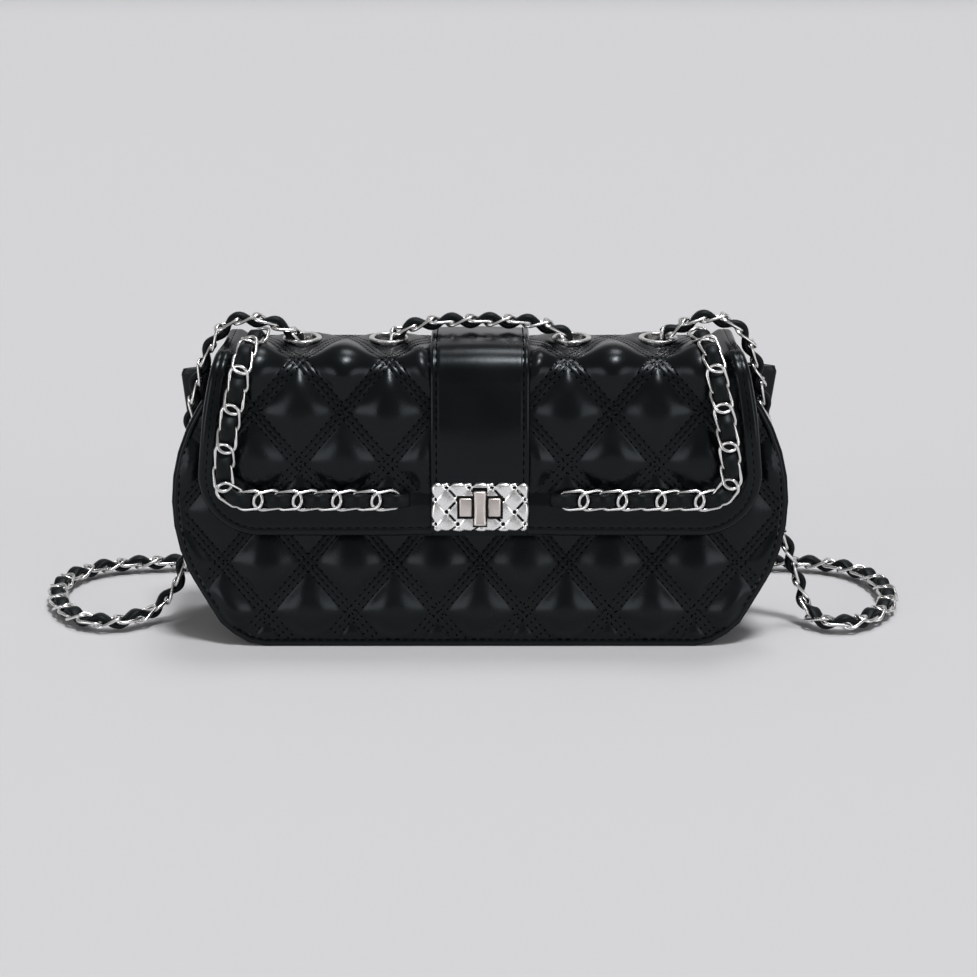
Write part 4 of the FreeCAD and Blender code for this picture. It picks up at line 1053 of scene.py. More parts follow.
def link_mesh(chain):
    """One oval link round the origin, long along X and flat across Z."""
    wire = mm(chain.wire) / 2
    end = mm(chain.link_width) / 2 - wire
    straight = mm(chain.link_length) / 2 - wire - end
    around = 24

    def place(u, v):
        turn = 2 * math.pi * u
        ring = 2 * math.pi * v
        side = Vector((math.cos(turn), math.sin(turn), 0))
        middle = side * end + Vector((math.copysign(straight, math.cos(turn)), 0, 0))
        point = middle + side * wire * math.cos(ring) + Vector((0, 0, wire * math.sin(ring)))
        point.z -= chain.twist * point.y * point.x / (straight + end)
        return point

    bm = mapped_grid(around, 8, place)
    close_up(bm)
    mesh = bpy.data.meshes.new("link")
    bm.to_mesh(mesh)
    bm.free()
    return mesh


def link_pitch(way, chain, gap):
    """Odd number of links on a way after a gap, so that the lace ends under one, and their pitch."""
    count = round((way.length - gap) / mm(chain.pitch) / 2 - 0.5) * 2 + 1
    return count, (way.length - gap) / count


def links_along(way, chain, gap=0.0):
    """Links laid head to tail along a way, up at one joint and down at the next, as the lace crosses."""
    single = link_mesh(chain)
    count, pitch = link_pitch(way, chain, gap)
    whole = bmesh.new()
    for index in range(count):
        place, along, flat = way.at(gap + (index + 0.5) * pitch)
        across = flat.cross(along)
        turn = Matrix((along, across, flat)).transposed().to_4x4()
        lean = chain.lean if index % 2 else -chain.lean
        copy = single.copy()
        tilt = Matrix.Rotation(lean, 4, "Y") @ Matrix.Rotation(chain.skew, 4, "Z")
        copy.transform(Matrix.Translation(place) @ turn @ tilt)
        whole.from_mesh(copy)
        bpy.data.meshes.remove(copy)
    bpy.data.meshes.remove(single)
    return whole


def lace_along(way, chain, gap=0.0, floor=None):
    """Flat lace that passes over one joint of the chain and under the next, never lower than floor."""
    pitch = link_pitch(way, chain, gap)[1]
    swing = mm(chain.lace_swing)
    half_width = mm(chain.lace_width) / 2
    half_thickness = mm(chain.lace_thickness) / 2
    samples = max(8, round(way.length))

    def place(u, v):
        distance = way.length * u
        middle, along, flat = way.at(distance)
        across = flat.cross(along)
        phase = math.pi * (distance - gap) / pitch
        offset = swing * math.cos(phase)
        if floor is not None:
            offset = max(offset, floor)
        tilt = math.atan(-swing * math.pi / pitch * math.sin(phase)) * 0.9
        up = flat * math.cos(tilt) - along * math.sin(tilt)
        ring = 2 * math.pi * v
        wide = math.copysign(abs(math.cos(ring)) ** 0.5, math.cos(ring)) * half_width
        thick = math.copysign(abs(math.sin(ring)) ** 0.8, math.sin(ring)) * half_thickness
        return middle + flat * offset + across * wide + up * thick

    bm = mapped_grid(samples, 12, place)
    close_tube(bm)
    return bm


def route_way(name, route):
    """Points read from a smooth spline through the route's control points."""
    curve = bpy.data.curves.new(name, "CURVE")
    curve.dimensions = "3D"
    spline = curve.splines.new("NURBS")
    spline.points.add(len(route) - 1)
    for point, place in zip(spline.points, route):
        point.co = (*(value * METRES for value in place), 1)
    spline.order_u = 3
    spline.use_endpoint_u = True
    spline.resolution_u = 12
    line = bpy.data.objects.new(name, curve)
    bpy.context.scene.collection.objects.link(line)
    mesh = bpy.data.meshes.new_from_object(line)
    points = [vert.co / METRES for vert in mesh.vertices]
    bpy.data.objects.remove(line)
    bpy.data.curves.remove(curve)
    bpy.data.meshes.remove(mesh)
    normals = []
    for index, point in enumerate(points):
        way = (points[min(index + 1, len(points) - 1)] - points[max(index - 1, 0)]).normalized()
        outward = Vector((math.copysign(1, point.x) if abs(point.x) > 1 else 0, 0, 0))
        steep = abs(way.z) ** 1.5
        normals.append((Vector((0, 0, 1)) * (1 - steep) + outward * steep).normalized())
    return Way(points, normals)


class BAG_OT_strap(Operator):
    """Chain strap with its lace: the long stretch beside the bag, the run over the top and the two inside"""

    bl_idname = "bag.strap"
    bl_label = "Chain strap"

    def execute(self, context):
        chain = context.scene.bag_chain
        self.stretch(chain, "strap_long", LONG_ROUTE, 0.93, "loose", (
            "strap_left_run", "strap_left_loop", "strap_back_run", "strap_right_loop", "strap_right_run",
        ))
        self.stretch(chain, "strap_top", TOP_ROUTE, 0.088, "loose", ("strap_top_run",))
        self.stretch(chain, "strap_in_left", INSIDE_LEFT, 0.055, "hanging", ("strap_inside_left",))
        self.stretch(chain, "strap_in_right", INSIDE_RIGHT, 0.055, "hanging", ("strap_inside_right",))
        return {"FINISHED"}

    def stretch(self, chain, name, route, length, lay, nodes):
        """One stretch between two eyelets."""
        way = route_way(name, route)
        lace = make_piece(name + "_lace", lace_along(way, chain), FINISHES["lace"])
        links = make_piece(name + "_links", links_along(way, chain), FINISHES["silver"])
        for piece in (lace, links):
            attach(piece, "shell")
        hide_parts(*nodes)
        path = [tuple(point * METRES) for point in way.points]
        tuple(path[0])


class BAG_OT_panels(Operator):
    """Quilted front and back panels with their bound edges"""

    bl_idname = "bag.panels"
    bl_label = "Quilted panels"

    def execute(self, context):
        leather = context.scene.bag_leather
        self.panel(leather, "front", on_front, FRONT_TOP, self.front_level)
        self.panel(leather, "back", on_back, BACK_TOP, self.back_level)
        return {"FINISHED"}

    def front_level(self, quilt, x, height):
        """Level of the front, which swells below the flap and is pressed flatter under it."""
        inset = panel_inset(x, height)
        tucked = smooth_step(*UNDER_FLAP, height)
        beside = smooth_step(*BESIDE_FLAP, abs(x))
        room = 1 - FLAP_PRESS * tucked * (1 - beside)
        belly = FRONT_BELLY * (1 - tucked) * smooth_step(*BELLY_FOOT, height)
        belly *= smooth_step(*BELLY_EDGE, inset)
        return FRONT_LEVEL + belly + quilt.height(x, height) * room * smooth_step(*PUFF_EDGE, inset)

    def back_level(self, quilt, x, height):
        """Level of the back, which swells evenly."""
        inset = min(panel_inset(x, height), BACK_TOP + BACK_TUCK - height)
        belly = BACK_BELLY * smooth_step(*BELLY_FOOT, height) * smooth_step(*BELLY_EDGE, inset)
        return BACK_LEVEL + belly + quilt.height(x, height) * BACK_PUFF * smooth_step(*PUFF_EDGE, inset)

    def panel(self, leather, name, face, top, level):
        """Padded sheet of one panel, with its stitches and its binding."""
        quilt = Quilt(
            leather, PANEL_QUILT_CROSSING, mm(leather.panel_puff), PANEL_QUILT_WIDE, PANEL_QUILT_TALL,
        )

        def outer(x, up, lift=0.0):
            return face(x, level(quilt, x, up) + lift, up)

        def inner(x, up):
            return face(x, PANEL_INNER, up)

        def keep(x, up):
            return 1 < up < top - 1 and panel_inset(x, up) > PANEL_SEAM

        bm = quilt.sheet_mesh(WIDEST_HALF, 0, top)
        cut_sheet(bm, panel_outline(top))
        thicken(bm, outer, inner)
        panel = make_piece("quilted_" + name, bm, FINISHES["quilted"], 60)
        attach(panel, "shell")
        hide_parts(name + "_panel")
        lay_stitches(name, quilt, WIDEST_HALF, 0, top, keep, outer, ride_shell)
        self.binding(name, face, top)

    def binding(self, name, face, top):
        """Strip of leather folded round a panel's edge, with its own row of stitches."""
        width = 5.6
        overhang = 0.3
        level = 3.0
        groove_place = 2.9
        seam = 2.6
        edge = panel_outline(top)[:-1]
        corners = [Vector((x, height, 0)) for x, height in edge]
        half = len(corners) // 2 + 1
        right = corners[:half]
        line = [Vector((-point.x, point.y, 0)) for point in reversed(right)] + right
        curve_way = Way(line, [Vector((0, 0, 1))] * len(line))

        def place(u, v):
            middle, along, flat = curve_way.at(curve_way.length * u)
            inward = flat.cross(along)
            upper = v < 0.5
            share = v * 2 if upper else 2 - v * 2
            across = width * (0.5 - 0.5 * math.cos(math.pi * share))
            spot = middle + inward * (across - overhang)
            if not upper:
                return face(spot.x, PANEL_INNER, spot.y)
            rounding = rounded(3.1, 2.2, across)
            sink = 1.4 * smooth_step(width - 3.8, width, across)
            groove = 0.15 * bell(across - groove_place, 0.5)
            return face(spot.x, level - rounding - sink - groove, spot.y)

        bm = mapped_grid(260, 32, place)
        close_tube(bm)
        piece = make_piece(name + "_binding", bm, FINISHES["plain"])
        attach(piece, "shell")

        def sew(distance, across, lift):
            middle, along, flat = curve_way.at(distance)
            spot = middle + flat.cross(along) * (seam + across)
            return face(spot.x, level - 0.2 + lift, spot.y)

        row = stitch_line(EDGE_STITCH_PITCH, curve_way.length, sew)
        sew_edge(name + "_binding_stitching", row, ride_shell)


class BAG_OT_flap(Operator):
    """Quilted skin of flap, roll and top, its plain border and the lining under it"""

    bl_idname = "bag.flap"
    bl_label = "Flap and top"

    def execute(self, context):
        leather = context.scene.bag_leather
        quilt = Quilt(
            leather, FLAP_QUILT_CROSSING, mm(leather.flap_puff), mm(leather.quilt_wide),
            mm(leather.quilt_tall), FLAP_QUILT_ASIDE, FLAP_QUILT_BEND, FLAP_QUILT_STRETCH,
        )

        def lift(x, along):
            """Level of the padded skin over the CAD's outer face."""
            beside = side_half(along) - abs(x)
            open_field = smooth_step(BORDER_BOTTOM - 3.5, BORDER_BOTTOM + 3.5, along)
            open_field *= smooth_step(BORDER_SIDE - 3.5, BORDER_SIDE + 3.5, beside)
            closing = smooth_step(CLOSURE_HALF - 2, CLOSURE_HALF + 4, abs(x))
            eyelet = 1.0
            for place in EYELET_PLACES:
                away = math.hypot(x - place, along - EYELET_ALONG)
                eyelet = min(eyelet, smooth_step(7, 13, away))
            settle = open_field * (0.25 + 0.75 * closing)
            flatter = 1 - 0.5 * smooth_step(TOP_START - 3, TOP_START + 14, along)
            fuller = 1 + 0.3 * bell(along - FULL_ROW, FULL_ROW_REACH)
            base = -1.6 + 0.7 * (1 - eyelet)
            between = 0.5 - 0.5 * math.cos(2 * math.pi * (abs(x) - EYELET_PLACES[3]) / EYELET_PITCH)
            inside = smooth_step(19, 27, abs(x)) * (1 - smooth_step(86, 102, abs(x)))
            base += top_swell(along) * between * inside
            return base + quilt.height(x, along) * settle * flatter * fuller * eyelet

        def outer(x, along, rise=0.0):
            return over_top(x, along, lift(x, along) + rise)

        def inner(x, along):
            return over_top(x, along, SKIN_INNER)

        bm = quilt.sheet_mesh(FLAP_HALF, 0, SKIN_END)
        cut_sheet(bm, flap_outline())
        for place in EYELET_PLACES:
            punch(bm, place, EYELET_ALONG, EYELET_HOLE)
        thicken(bm, outer, inner)
        skin = make_piece("quilted_flap_and_top", bm, FINISHES["quilted"], 60)
        blend_flap(skin)
        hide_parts("flap_panel", "top_panel")

        def keep(x, along):
            if not 1 < along < SKIN_END - 1 or abs(x) < CLOSURE_HALF + 0.5:
                return False
            if any(math.hypot(x - place, along - EYELET_ALONG) < 9 for place in EYELET_PLACES):
                return False
            return along > BORDER_BOTTOM + 0.5 and side_half(along) - abs(x) > BORDER_SIDE + 0.5

        lay_stitches("flap", quilt, FLAP_HALF, 0, SKIN_END, keep, outer, blend_flap)
        for side, name in ((-1, "left"), (1, "right")):
            self.border(side, name)
        self.lining()
        return {"FINISHED"}

    def border(self, side, name):
        """Plain strip along one half of the flap's edge and on over the roll."""
        seam = 3.6
        level = 1.0
        start = CLOSURE_HALF - 1
        corner_x = FLAP_HALF - FLAP_CORNER
        inner_x = FLAP_HALF - BORDER_SIDE - BORDER_CORNER
        inner_up = BORDER_BOTTOM + BORDER_CORNER
        bottom_run = corner_x - start
        corner_run = FLAP_CORNER * math.pi / 2
        side_run = SKIN_END - FLAP_CORNER
        whole = bottom_run + corner_run + side_run

        def edges(distance):
            """Outer and inner point of the strip at a distance along its outer edge."""
            if distance < bottom_run:
                share = distance / bottom_run
                return (start + bottom_run * share, 0.0), (start + (inner_x - start) * share, BORDER_BOTTOM)
            if distance < bottom_run + corner_run:
                angle = math.pi / 2 * (distance - bottom_run) / corner_run
                outer = (corner_x + FLAP_CORNER * math.sin(angle), FLAP_CORNER * (1 - math.cos(angle)))
                inner_along = inner_up - BORDER_CORNER * math.cos(angle)
                return outer, (inner_x + BORDER_CORNER * math.sin(angle), inner_along)
            share = (distance - bottom_run - corner_run) / side_run
            outer_along = FLAP_CORNER + side_run * share
            inner_along = inner_up + (SKIN_END - inner_up) * share
            return (side_half(outer_along), outer_along), (side_half(inner_along) - BORDER_SIDE, inner_along)

        def spot(distance, inset):
            """Place on the skin, inset from the outer edge."""
            outer, inner = edges(distance)
            wide = math.hypot(inner[0] - outer[0], inner[1] - outer[1])
            share = inset / wide
            x = outer[0] + (inner[0] - outer[0]) * share
            along = outer[1] + (inner[1] - outer[1]) * share
            return x * side, along, wide

        def drop(x):
            """Fall of the strip beside the closure, where no trim covers its inner edge."""
            return 1.5 * (1 - smooth_step(CLOSURE_HALF + 3, CLOSURE_HALF + 15, abs(x)))

        def place(u, v):
            distance = whole * u
            wide = spot(distance, 0)[2]
            upper = v >= 0.5
            share = (v - 0.5) * 2 if upper else 1 - v * 2
            inset = wide * (0.5 - 0.5 * math.cos(math.pi * share))
            x, along = spot(distance, inset)[:2]
            if not upper:
                return over_top(x, along, -4.2 + 2.2 * smooth_step(2, 5, inset))
            outer_round = rounded(2.6, 2.2, inset)
            sink = 3.0 * smooth_step(wide - 6, wide, inset)
            groove = 0.14 * bell(inset - seam, 0.55) * smooth_step(wide, wide - 2, inset)
            return over_top(x, along, level - drop(x) - outer_round - sink * (1 - 0.4 * drop(x)) - groove)

        bm = mapped_grid(220, 64, place)
        close_tube(bm)
        piece = make_piece("flap_edge_" + name, bm, FINISHES["plain"])
        blend_flap(piece)
        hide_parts("flap_border_" + name)

        def sew(distance, across, lift):
            x, along = spot(distance, seam + across)[:2]
            return over_top(x, along, level - 0.2 - drop(x) + lift)

        row = stitch_line(EDGE_STITCH_PITCH, whole - 1, sew)
        sew_edge("flap_edge_stitching_" + name, row, blend_flap)

    def lining(self):
        """Lining cloth under flap, roll and top, in one piece."""
        half = CREST_HALF - 3
        start = 2.0
        end = CREST_START

        def place(u, v):
            x = -half + 2 * half * u
            return Vector((x, start + (end - start) * v, 0))

        bm = mapped_grid(90, 110, place)
        for spot in EYELET_PLACES:
            punch(bm, spot, EYELET_ALONG, EYELET_HOLE)
        thicken(
            bm, lambda x, along: over_top(x, along, LINING_OUTER),
            lambda x, along: over_top(x, along, LINING_INNER),
        )
        piece = make_piece("flap_and_top_lining", bm, FINISHES["lining"], 60)
        blend_flap(piece)
        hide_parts("flap_lining", "top_lining")


class BAG_OT_closure(Operator):
    """Plain closure strap from the top over the roll to the lock, stitched along its edges"""

    bl_idname = "bag.closure"
    bl_label = "Closure strap"

    def execute(self, context):
        start = CLOSURE_END - FLAP_BOTTOM
        end = SKIN_END
        level = 1.5
        under = -1.0

        def place(u, v):
            along = start + (end - start) * u
            upper = v < 0.5
            share = v * 2 if upper else 2 - v * 2
            x = -CLOSURE_HALF * math.cos(math.pi * share)
            inset = CLOSURE_HALF - abs(x)
            if not upper:
                return over_top(x, along, under)
            rounding = rounded(1.3, 1.3, inset)
            groove = 0.35 * bell(inset - CLOSURE_SEAM, 0.5)
            puff = 0.5 * (1 - (x / CLOSURE_HALF) ** 2)
            ease = 0.25 * noise.noise(Vector((x * 0.06, along * 0.05, 3)))
            rise = level + CLOSURE_SWELL * top_swell(along) + puff + ease * smooth_step(0, 6, inset)
            return over_top(x, along, rise - rounding - groove)

        bm = mapped_grid(120, 96, place)
        close_tube(bm)
        strap = make_piece("closure_leather", bm, FINISHES["plain"], 50)
        blend_flap(strap)
        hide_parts("closure_strap", "closure_strap_top")
        rows = []
        for side in (-1, 1):
            def sew(distance, across, lift, side=side):
                along = start + 1 + distance
                rise = level - 0.08 + CLOSURE_SWELL * top_swell(along) + lift
                return over_top(side * (CLOSURE_HALF - CLOSURE_SEAM + across), along, rise)
            rows.append(stitch_line(EDGE_STITCH_PITCH, end - start - 2, sew))
        sew_edge("closure_stitching", join_meshes(rows), blend_flap)
        return {"FINISHED"}


class BAG_OT_trim(Operator):
    """Chain trim and its lace round each side of the flap and over the roll"""

    bl_idname = "bag.trim"
    bl_label = "Chain trim"

    def execute(self, context):
        chain = context.scene.bag_chain
        for side, name in ((-1, "left"), (1, "right")):
            way = self.way(side, TRIM_LOW_HALF[name], TRIM_DRAW_IN[name])
            bm = links_along(way, chain, TRIM_LINK_GAP)
            links = make_piece("trim_links_" + name, bm, FINISHES["silver"])
            bm = lace_along(way, chain, TRIM_LINK_GAP, TRIM_LACE_FLOOR)
            lace = make_piece("trim_weave_" + name, bm, FINISHES["lace"])
            for piece, node in ((links, "trim_chain_"), (lace, "trim_lace_")):
                blend_flap(piece)
                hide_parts(node + name)
        return {"FINISHED"}

    def way(self, side, low_half, pull):
        """Line of the trim on the skin, low_half out at its corner and drawn in by pull above it."""
        corner_x = low_half - TRIM_CORNER
        corner_up = TRIM_RISE + TRIM_CORNER
        flat = []
        step = 1.0
        x = TRIM_INNER_END
        while x < corner_x:
            flat.append((x, TRIM_RISE))
            x += step
        pieces = 14
        for index in range(pieces + 1):
            angle = math.pi / 2 * index / pieces
            flat.append((corner_x + TRIM_CORNER * math.sin(angle), corner_up - TRIM_CORNER * math.cos(angle)))
        along = corner_up + step
        while along < TRIM_UPPER_END:
            draw_in = pull * ((along - corner_up) / TRIM_DRAW_LENGTH) ** TRIM_DRAW_POWER
            flat.append((low_half - draw_in, along))
            along += step
        points = [over_top(side * x, along, TRIM_LIFT) for x, along in flat]
        above = [over_top(side * x, along, TRIM_LIFT + 1) for x, along in flat]
        return Way(points, [high - low for high, low in zip(above, points)])


class BAG_OT_lock(Operator):
    """Turn lock: woven-relief plate, level boss and toggle"""

    bl_idname = "bag.lock"
    bl_label = "Turn lock"

    def execute(self, context):
        self.plate()
        self.toggle()
        self.liner()
        for node in ("lock_plate_rivets", "lock_socket", "lock_backing", "lock_socket_rivets",
                     "toggle_clip", "toggle_spring_washer"):
            dress(node, "nickel")
        return {"FINISHED"}

    def weave(self, x, up):
        """Rise of the plate's woven strands, which cross at a slant."""
        strand = 6.43
        aside = x - 0.2
        above = (up - 3.1) * 0.91
        first = (aside + above) / math.sqrt(2) / strand
        second = (aside - above) / math.sqrt(2) / strand
        turn = 1 if (math.floor(first) + math.floor(second)) % 2 else -1
        across_first = first - math.floor(first) - 0.5
        across_second = second - math.floor(second) - 0.5
        rises = [0.0]
        slit = 0.0
        row = math.floor(above * math.sqrt(2) / strand) % 2
        for across, lengthways, over, slit_row in (
            (across_first, across_second, turn, 0), (across_second, across_first, -turn, 1),
        ):
            share = abs(across) / 0.47
            if share < 1:
                crown = (1 - share ** 4) ** 0.5
                rises.append(0.45 * crown + 0.55 * (0.5 + 0.5 * over * math.cos(math.pi * lengthways)))
            if row == slit_row:
                edge = bell(0.5 - abs(across), 0.065)
                slit = edge * (1 - smooth_step(0.2, 0.36, abs(lengthways)))
        hole = math.hypot(first - round(first), second - round(second)) * strand
        return max(rises) * (1 - 0.9 * slit) * smooth_step(0.35, 0.85, hole)

    def open_up(self, bm, openings):
        """Cuts rectangular openings, given by half their width and height, out of a flat grid."""
        faces = []
        for face in bm.faces:
            middle = face.calc_center_median()
            if any(abs(middle.x) < wide and abs(middle.y) < tall for wide, tall in openings):
                faces.append(face)
        bmesh.ops.delete(bm, geom=faces, context="FACES")

    def plate(self):
        """Cast plate with its woven face, open for the boss and the toggle."""
        window_wide = 9.2
        window_tall = 4.7
        slot_wide = 2.95
        slot_tall = 8.1
        rim = 2.4
        straight_x = PLATE_HALF_WIDTH - PLATE_CORNER
        straight_up = PLATE_HALF_HEIGHT - PLATE_CORNER
        bm = self.stepped_grid(
            (-PLATE_HALF_WIDTH, -window_wide, -slot_wide, slot_wide, window_wide, PLATE_HALF_WIDTH),
            (-PLATE_HALF_HEIGHT, -slot_tall, -window_tall, window_tall, slot_tall, PLATE_HALF_HEIGHT), 0.2,
        )
        self.open_up(bm, ((window_wide, window_tall), (slot_wide, slot_tall)))

        def squeeze(x, up):
            """Place within the plate's rounded corners."""
            dx = abs(x) - straight_x
            dy = abs(up) - straight_up
            if dx > 0 and dy > 0:
                share = max(dx, dy) / math.hypot(dx, dy)
                x = math.copysign(straight_x + dx * share, x)
                up = math.copysign(straight_up + dy * share, up)
            return x, up

        def edge(x, up):
            """Distance inside the rounded outline."""
            dx = abs(x) - straight_x
            dy = abs(up) - straight_up
            if dx > 0 and dy > 0:
                return PLATE_CORNER - math.hypot(dx, dy)
            return min(PLATE_HALF_WIDTH - abs(x), PLATE_HALF_HEIGHT - abs(up))

        def pressed(x, up):
            """Place with the rim drawn in between the strands' ends, its inset and the strands' rise."""
            x, up = squeeze(x, up)
            inset = edge(x, up)
            rise = self.weave(x, up)
            pull = 1.3 * (1 - rise) * (1 - smooth_step(0.0, rim, inset))
            if PLATE_HALF_WIDTH - abs(x) < rim:
                x -= math.copysign(pull, x)
            if PLATE_HALF_HEIGHT - abs(up) < rim:
                up -= math.copysign(pull, up)
            return x, up, inset, rise

        def front(x, up):
            x, up, inset, rise = pressed(x, up)
            level = PLATE_LEVEL + PLATE_RELIEF * rise - rounded(1.5, 1.6, max(0.0, inset))
            return on_front(x, level, LOCK_HEIGHT + up)

        def rear(x, up):
            x, up = pressed(x, up)[:2]
            return on_front(x, PLATE_BACK, LOCK_HEIGHT + up)

        def shade(x, up):
            """Brightness of the metal, dark where the strands lie deep."""
            return smooth_step(0.22, 0.6, self.weave(*squeeze(x, up)))

        thicken(bm, front, rear, shade)
        piece = make_piece("lock_plate_woven", bm, FINISHES["woven"], 55)
        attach(piece, "flap")
        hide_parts("lock_plate")

    def liner(self):
        """Liner under the plate, open for the toggle, dark to paint the shadow in the gaps round boss and
        toggle, and the two halves of the level boss on it.
        """
        slot_wide = 3.2
        slot_tall = 8.2
        half_wide = 17.9
        half_tall = 8.9
        across = (-half_wide, -slot_wide, slot_wide, half_wide)
        bm = self.stepped_grid(across, (-half_tall, -slot_tall, slot_tall, half_tall), 1.5)
        self.open_up(bm, ((slot_wide, slot_tall),))
        thicken(
            bm, lambda x, up: on_front(x, LINER_FACE, LOCK_HEIGHT + up),
            lambda x, up: on_front(x, LINER_BACK, LOCK_HEIGHT + up),
        )
        # The liner is dark to paint the shadow seen in the gaps round the boss and toggle
        sheet = make_piece("lock_liner_shadow_sheet", bm, FINISHES["dark"], 45)
        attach(sheet, "flap")
        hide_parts("lock_liner")
        bm = bmesh.new()
        for side in (-1, 1):
            size = Matrix.Diagonal((*BOSS_SIZE, 1))
            place = Matrix.Translation((side * BOSS_PLACE[0], BOSS_PLACE[1], 0))
            bmesh.ops.create_cube(bm, size=1.0, matrix=place @ size)
        bevel(bm, bm.edges[:], 0.5, 3)
        for vert in bm.verts:
            vert.co = on_front(vert.co.x, vert.co.y, LOCK_HEIGHT + vert.co.z)
        bmesh.ops.recalc_face_normals(bm, faces=bm.faces[:])
        boss = make_piece("lock_boss", bm, FINISHES["nickel"], 45)
        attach(boss, "flap")

    def stepped_grid(self, stops_across, stops_up, step):
        """Flat grid with lines at all the stops."""
        columns = self.spaced(stops_across, step)
        rows = self.spaced(stops_up, step)
        last_column = len(columns) - 1
        last_row = len(rows) - 1

        def place(u, v):
            return Vector((columns[round(u * last_column)], rows[round(v * last_row)], 0))

        return mapped_grid(last_column, last_row, place)

    def spaced(self, stops, step):
        """Even places between the stops, which are kept."""
        places = [stops[0]]
        for before, after in zip(stops, stops[1:]):
            count = max(1, round((after - before) / step))
            places += [before + (after - before) * index / count for index in range(1, count + 1)]
        return places

    def toggle(self):
        """Upright bar, waisted in the middle and flared at its ends, on its round post."""
        bm = bmesh.new()
        bmesh.ops.create_cube(bm, size=1.0)
        bmesh.ops.scale(bm, vec=TOGGLE_SIZE, verts=bm.verts[:])
        upright = [edge for edge in bm.edges if abs(edge.verts[0].co.z - edge.verts[1].co.z) > 1]
        bmesh.ops.subdivide_edges(bm, edges=upright, cuts=14, use_grid_fill=True)
        for vert in bm.verts:
            share = 2 * vert.co.z / TOGGLE_SIZE[2]
            vert.co.x *= 0.84 + 0.16 * share * share
            vert.co.y *= 0.86 + 0.14 * share * share
        ends = [edge for edge in bm.edges if edge.calc_face_angle(0) > 0.6]
        bevel(bm, ends, 0.95, 4)
        bmesh.ops.create_cone(
            bm, cap_ends=True, segments=32, radius1=POST_RADIUS, radius2=POST_RADIUS, depth=POST_LENGTH,
            matrix=Matrix.Translation((0, POST_MIDDLE, 0)) @ Matrix.Rotation(math.pi / 2, 4, "X"),
        )
        for vert in bm.verts:
            vert.co = on_front(vert.co.x, TOGGLE_OUT - vert.co.y, LOCK_HEIGHT + vert.co.z)
        bmesh.ops.recalc_face_normals(bm, faces=bm.faces[:])
        piece = make_piece("toggle_bar", bm, FINISHES["nickel"], 45)
        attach(piece, "toggle")
        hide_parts("lock_toggle")


def node_box(node):
    """Corners of a CAD node's box in millimetres."""
    low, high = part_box(node)
    return low / METRES, high / METRES


def dress(node, finish):
    """Gives a CAD node its finish."""
    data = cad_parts[node].data
    data.materials.clear()
    data.materials.append(FINISHES[finish])


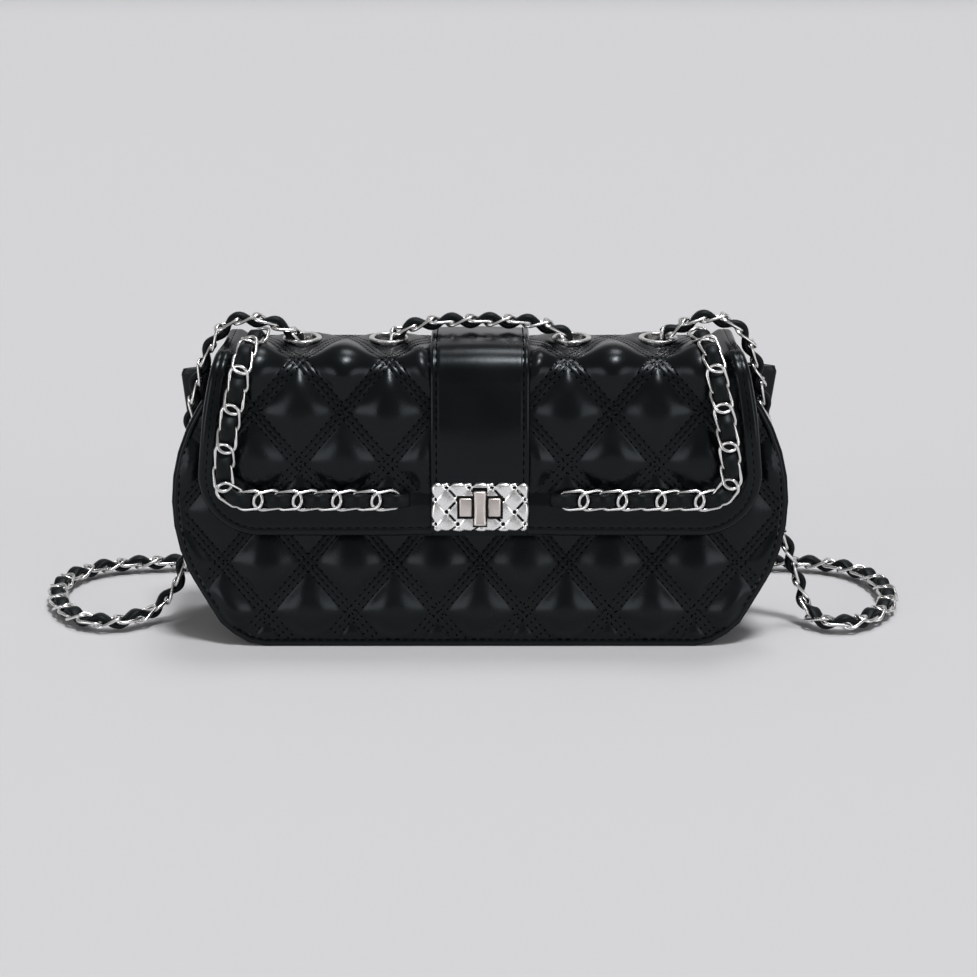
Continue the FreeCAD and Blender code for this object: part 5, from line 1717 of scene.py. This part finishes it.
class BAG_OT_sides(Operator):
    """Soft gussets, their folded ears, and the base"""

    bl_idname = "bag.sides"
    bl_label = "Gussets and base"

    def execute(self, context):
        for side, name in ((-1, "left"), (1, "right")):
            self.gusset(side, name)
            self.ear(side, name)
        self.base()
        return {"FINISHED"}

    def gusset(self, side, name):
        """Side wall that bows in between the panels and creases along its middle."""
        top = 100.0
        inset = 3.4
        edge = 0.4

        def place(u, v):
            up = top * u
            depth = v - 0.5
            front = on_front(0, edge, up)
            rear = on_back(0, edge, up)
            y = front.y + (rear.y - front.y) * v
            z = front.z + (rear.z - front.z) * v
            sag = (1 - (2 * depth) ** 2) * (0.4 + 0.6 * smooth_step(0, top, up))
            crease = 0.6 * bell(depth, 0.07) * smooth_step(20, 95, up)
            ripple = 0.25 * noise.noise(Vector((v * 3, up * 0.06, side)))
            x = body_half(up) - inset - sag - crease + ripple
            return Vector((side * x, y, z))

        bm = mapped_grid(70, 44, place)
        self.skin("side_" + name, bm, name + "_gusset", 1.7, side)

    def ear(self, side, name):
        """Upper end of the gusset, folded outwards into a flat ear."""
        low, high = node_box(name + "_gusset_ear")
        inner = min(abs(low.x), abs(high.x))
        outer = max(abs(low.x), abs(high.x))
        short, slant, raised = EAR_TIPS[name]

        def place(u, v):
            tip = outer - short - slant * (1 - u) - 1.1 * smooth_step(0.84, 1, u) ** 2
            fold = math.sin(math.pi / 2 * (1 - abs(2 * v - 1))) ** 0.85
            x = inner - 4 + (tip - inner + 4) * fold
            y = low.y + 0.9 + (high.y - low.y - 1.8) * v
            z = low.z + (high.z - low.z) * u - 0.9 * u * fold * fold + raised * u
            return Vector((side * x, y, z))

        bm = mapped_grid(24, 24, place)
        self.skin("ear_" + name, bm, name + "_gusset_ear", 1.5, side)

    def skin(self, name, bm, node, thickness, side):
        """Closed leather sheet from an open grid whose outer face looks to its side."""
        bm.normal_update()
        outward = sum(face.normal.x * face.calc_area() for face in bm.faces) * side
        if outward < 0:
            bmesh.ops.reverse_faces(bm, faces=bm.faces[:])
        bmesh.ops.solidify(bm, geom=bm.faces[:], thickness=thickness)
        bmesh.ops.recalc_face_normals(bm, faces=bm.faces[:])
        piece = make_piece(name, bm, FINISHES["plain"], 60)
        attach(piece, "shell")
        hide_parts(node)

    def base(self):
        """Base with rounded edges between the panels."""
        low, high = node_box("base_panel")
        middle = (low + high) / 2
        size = high - low
        bm = bmesh.new()
        bmesh.ops.create_cube(bm, size=1.0)
        bmesh.ops.scale(bm, vec=size, verts=bm.verts[:])
        bmesh.ops.translate(bm, verts=bm.verts[:], vec=middle)
        bevel(bm, bm.edges[:], 1.1, 4)
        piece = make_piece("base_leather", bm, FINISHES["plain"], 50)
        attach(piece, "shell")
        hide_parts("base_panel")


class BAG_OT_fittings(Operator):
    """Finishes of the CAD pieces that stay: eyelets, linings and board"""

    bl_idname = "bag.fittings"
    bl_label = "Fittings"

    def execute(self, context):
        dress("eyelets", "silver")
        dress("eyelet_washers", "nickel")
        dress("lining", "lining")
        dress("base_board", "board")
        return {"FINISHED"}


class BAG_PT_panel(Panel):
    """Lists the bag's operators in the sidebar"""

    bl_label = "Chain shoulder bag"
    bl_idname = "BAG_PT_panel"
    bl_space_type = "VIEW_3D"
    bl_region_type = "UI"
    bl_category = "Bag"

    def draw(self, context):
        for operator in OPERATORS:
            self.layout.operator(operator.bl_idname)


GROUPS = (BagLeather, BagChain, BagStage)
OPERATORS = (
    BAG_OT_stage, BAG_OT_strap, BAG_OT_panels, BAG_OT_flap, BAG_OT_closure, BAG_OT_trim, BAG_OT_lock,
    BAG_OT_sides, BAG_OT_fittings,
)


def register():
    for part in GROUPS + OPERATORS + (BAG_PT_panel,):
        bpy.utils.register_class(part)
    bpy.types.Scene.bag_leather = PointerProperty(type=BagLeather)
    bpy.types.Scene.bag_chain = PointerProperty(type=BagChain)
    bpy.types.Scene.bag_stage = PointerProperty(type=BagStage)


def unregister():
    del bpy.types.Scene.bag_stage
    del bpy.types.Scene.bag_chain
    del bpy.types.Scene.bag_leather
    for part in reversed(GROUPS + OPERATORS + (BAG_PT_panel,)):
        bpy.utils.unregister_class(part)


def main():
    register()
    scene = bpy.context.scene
    make_finishes(scene.bag_leather, scene.bag_chain)
    bpy.ops.bag.stage()
    bpy.ops.bag.strap()
    bpy.ops.bag.panels()
    bpy.ops.bag.flap()
    bpy.ops.bag.closure()
    bpy.ops.bag.trim()
    bpy.ops.bag.lock()
    bpy.ops.bag.sides()
    bpy.ops.bag.fittings()


if __name__ == "__main__":
    main()
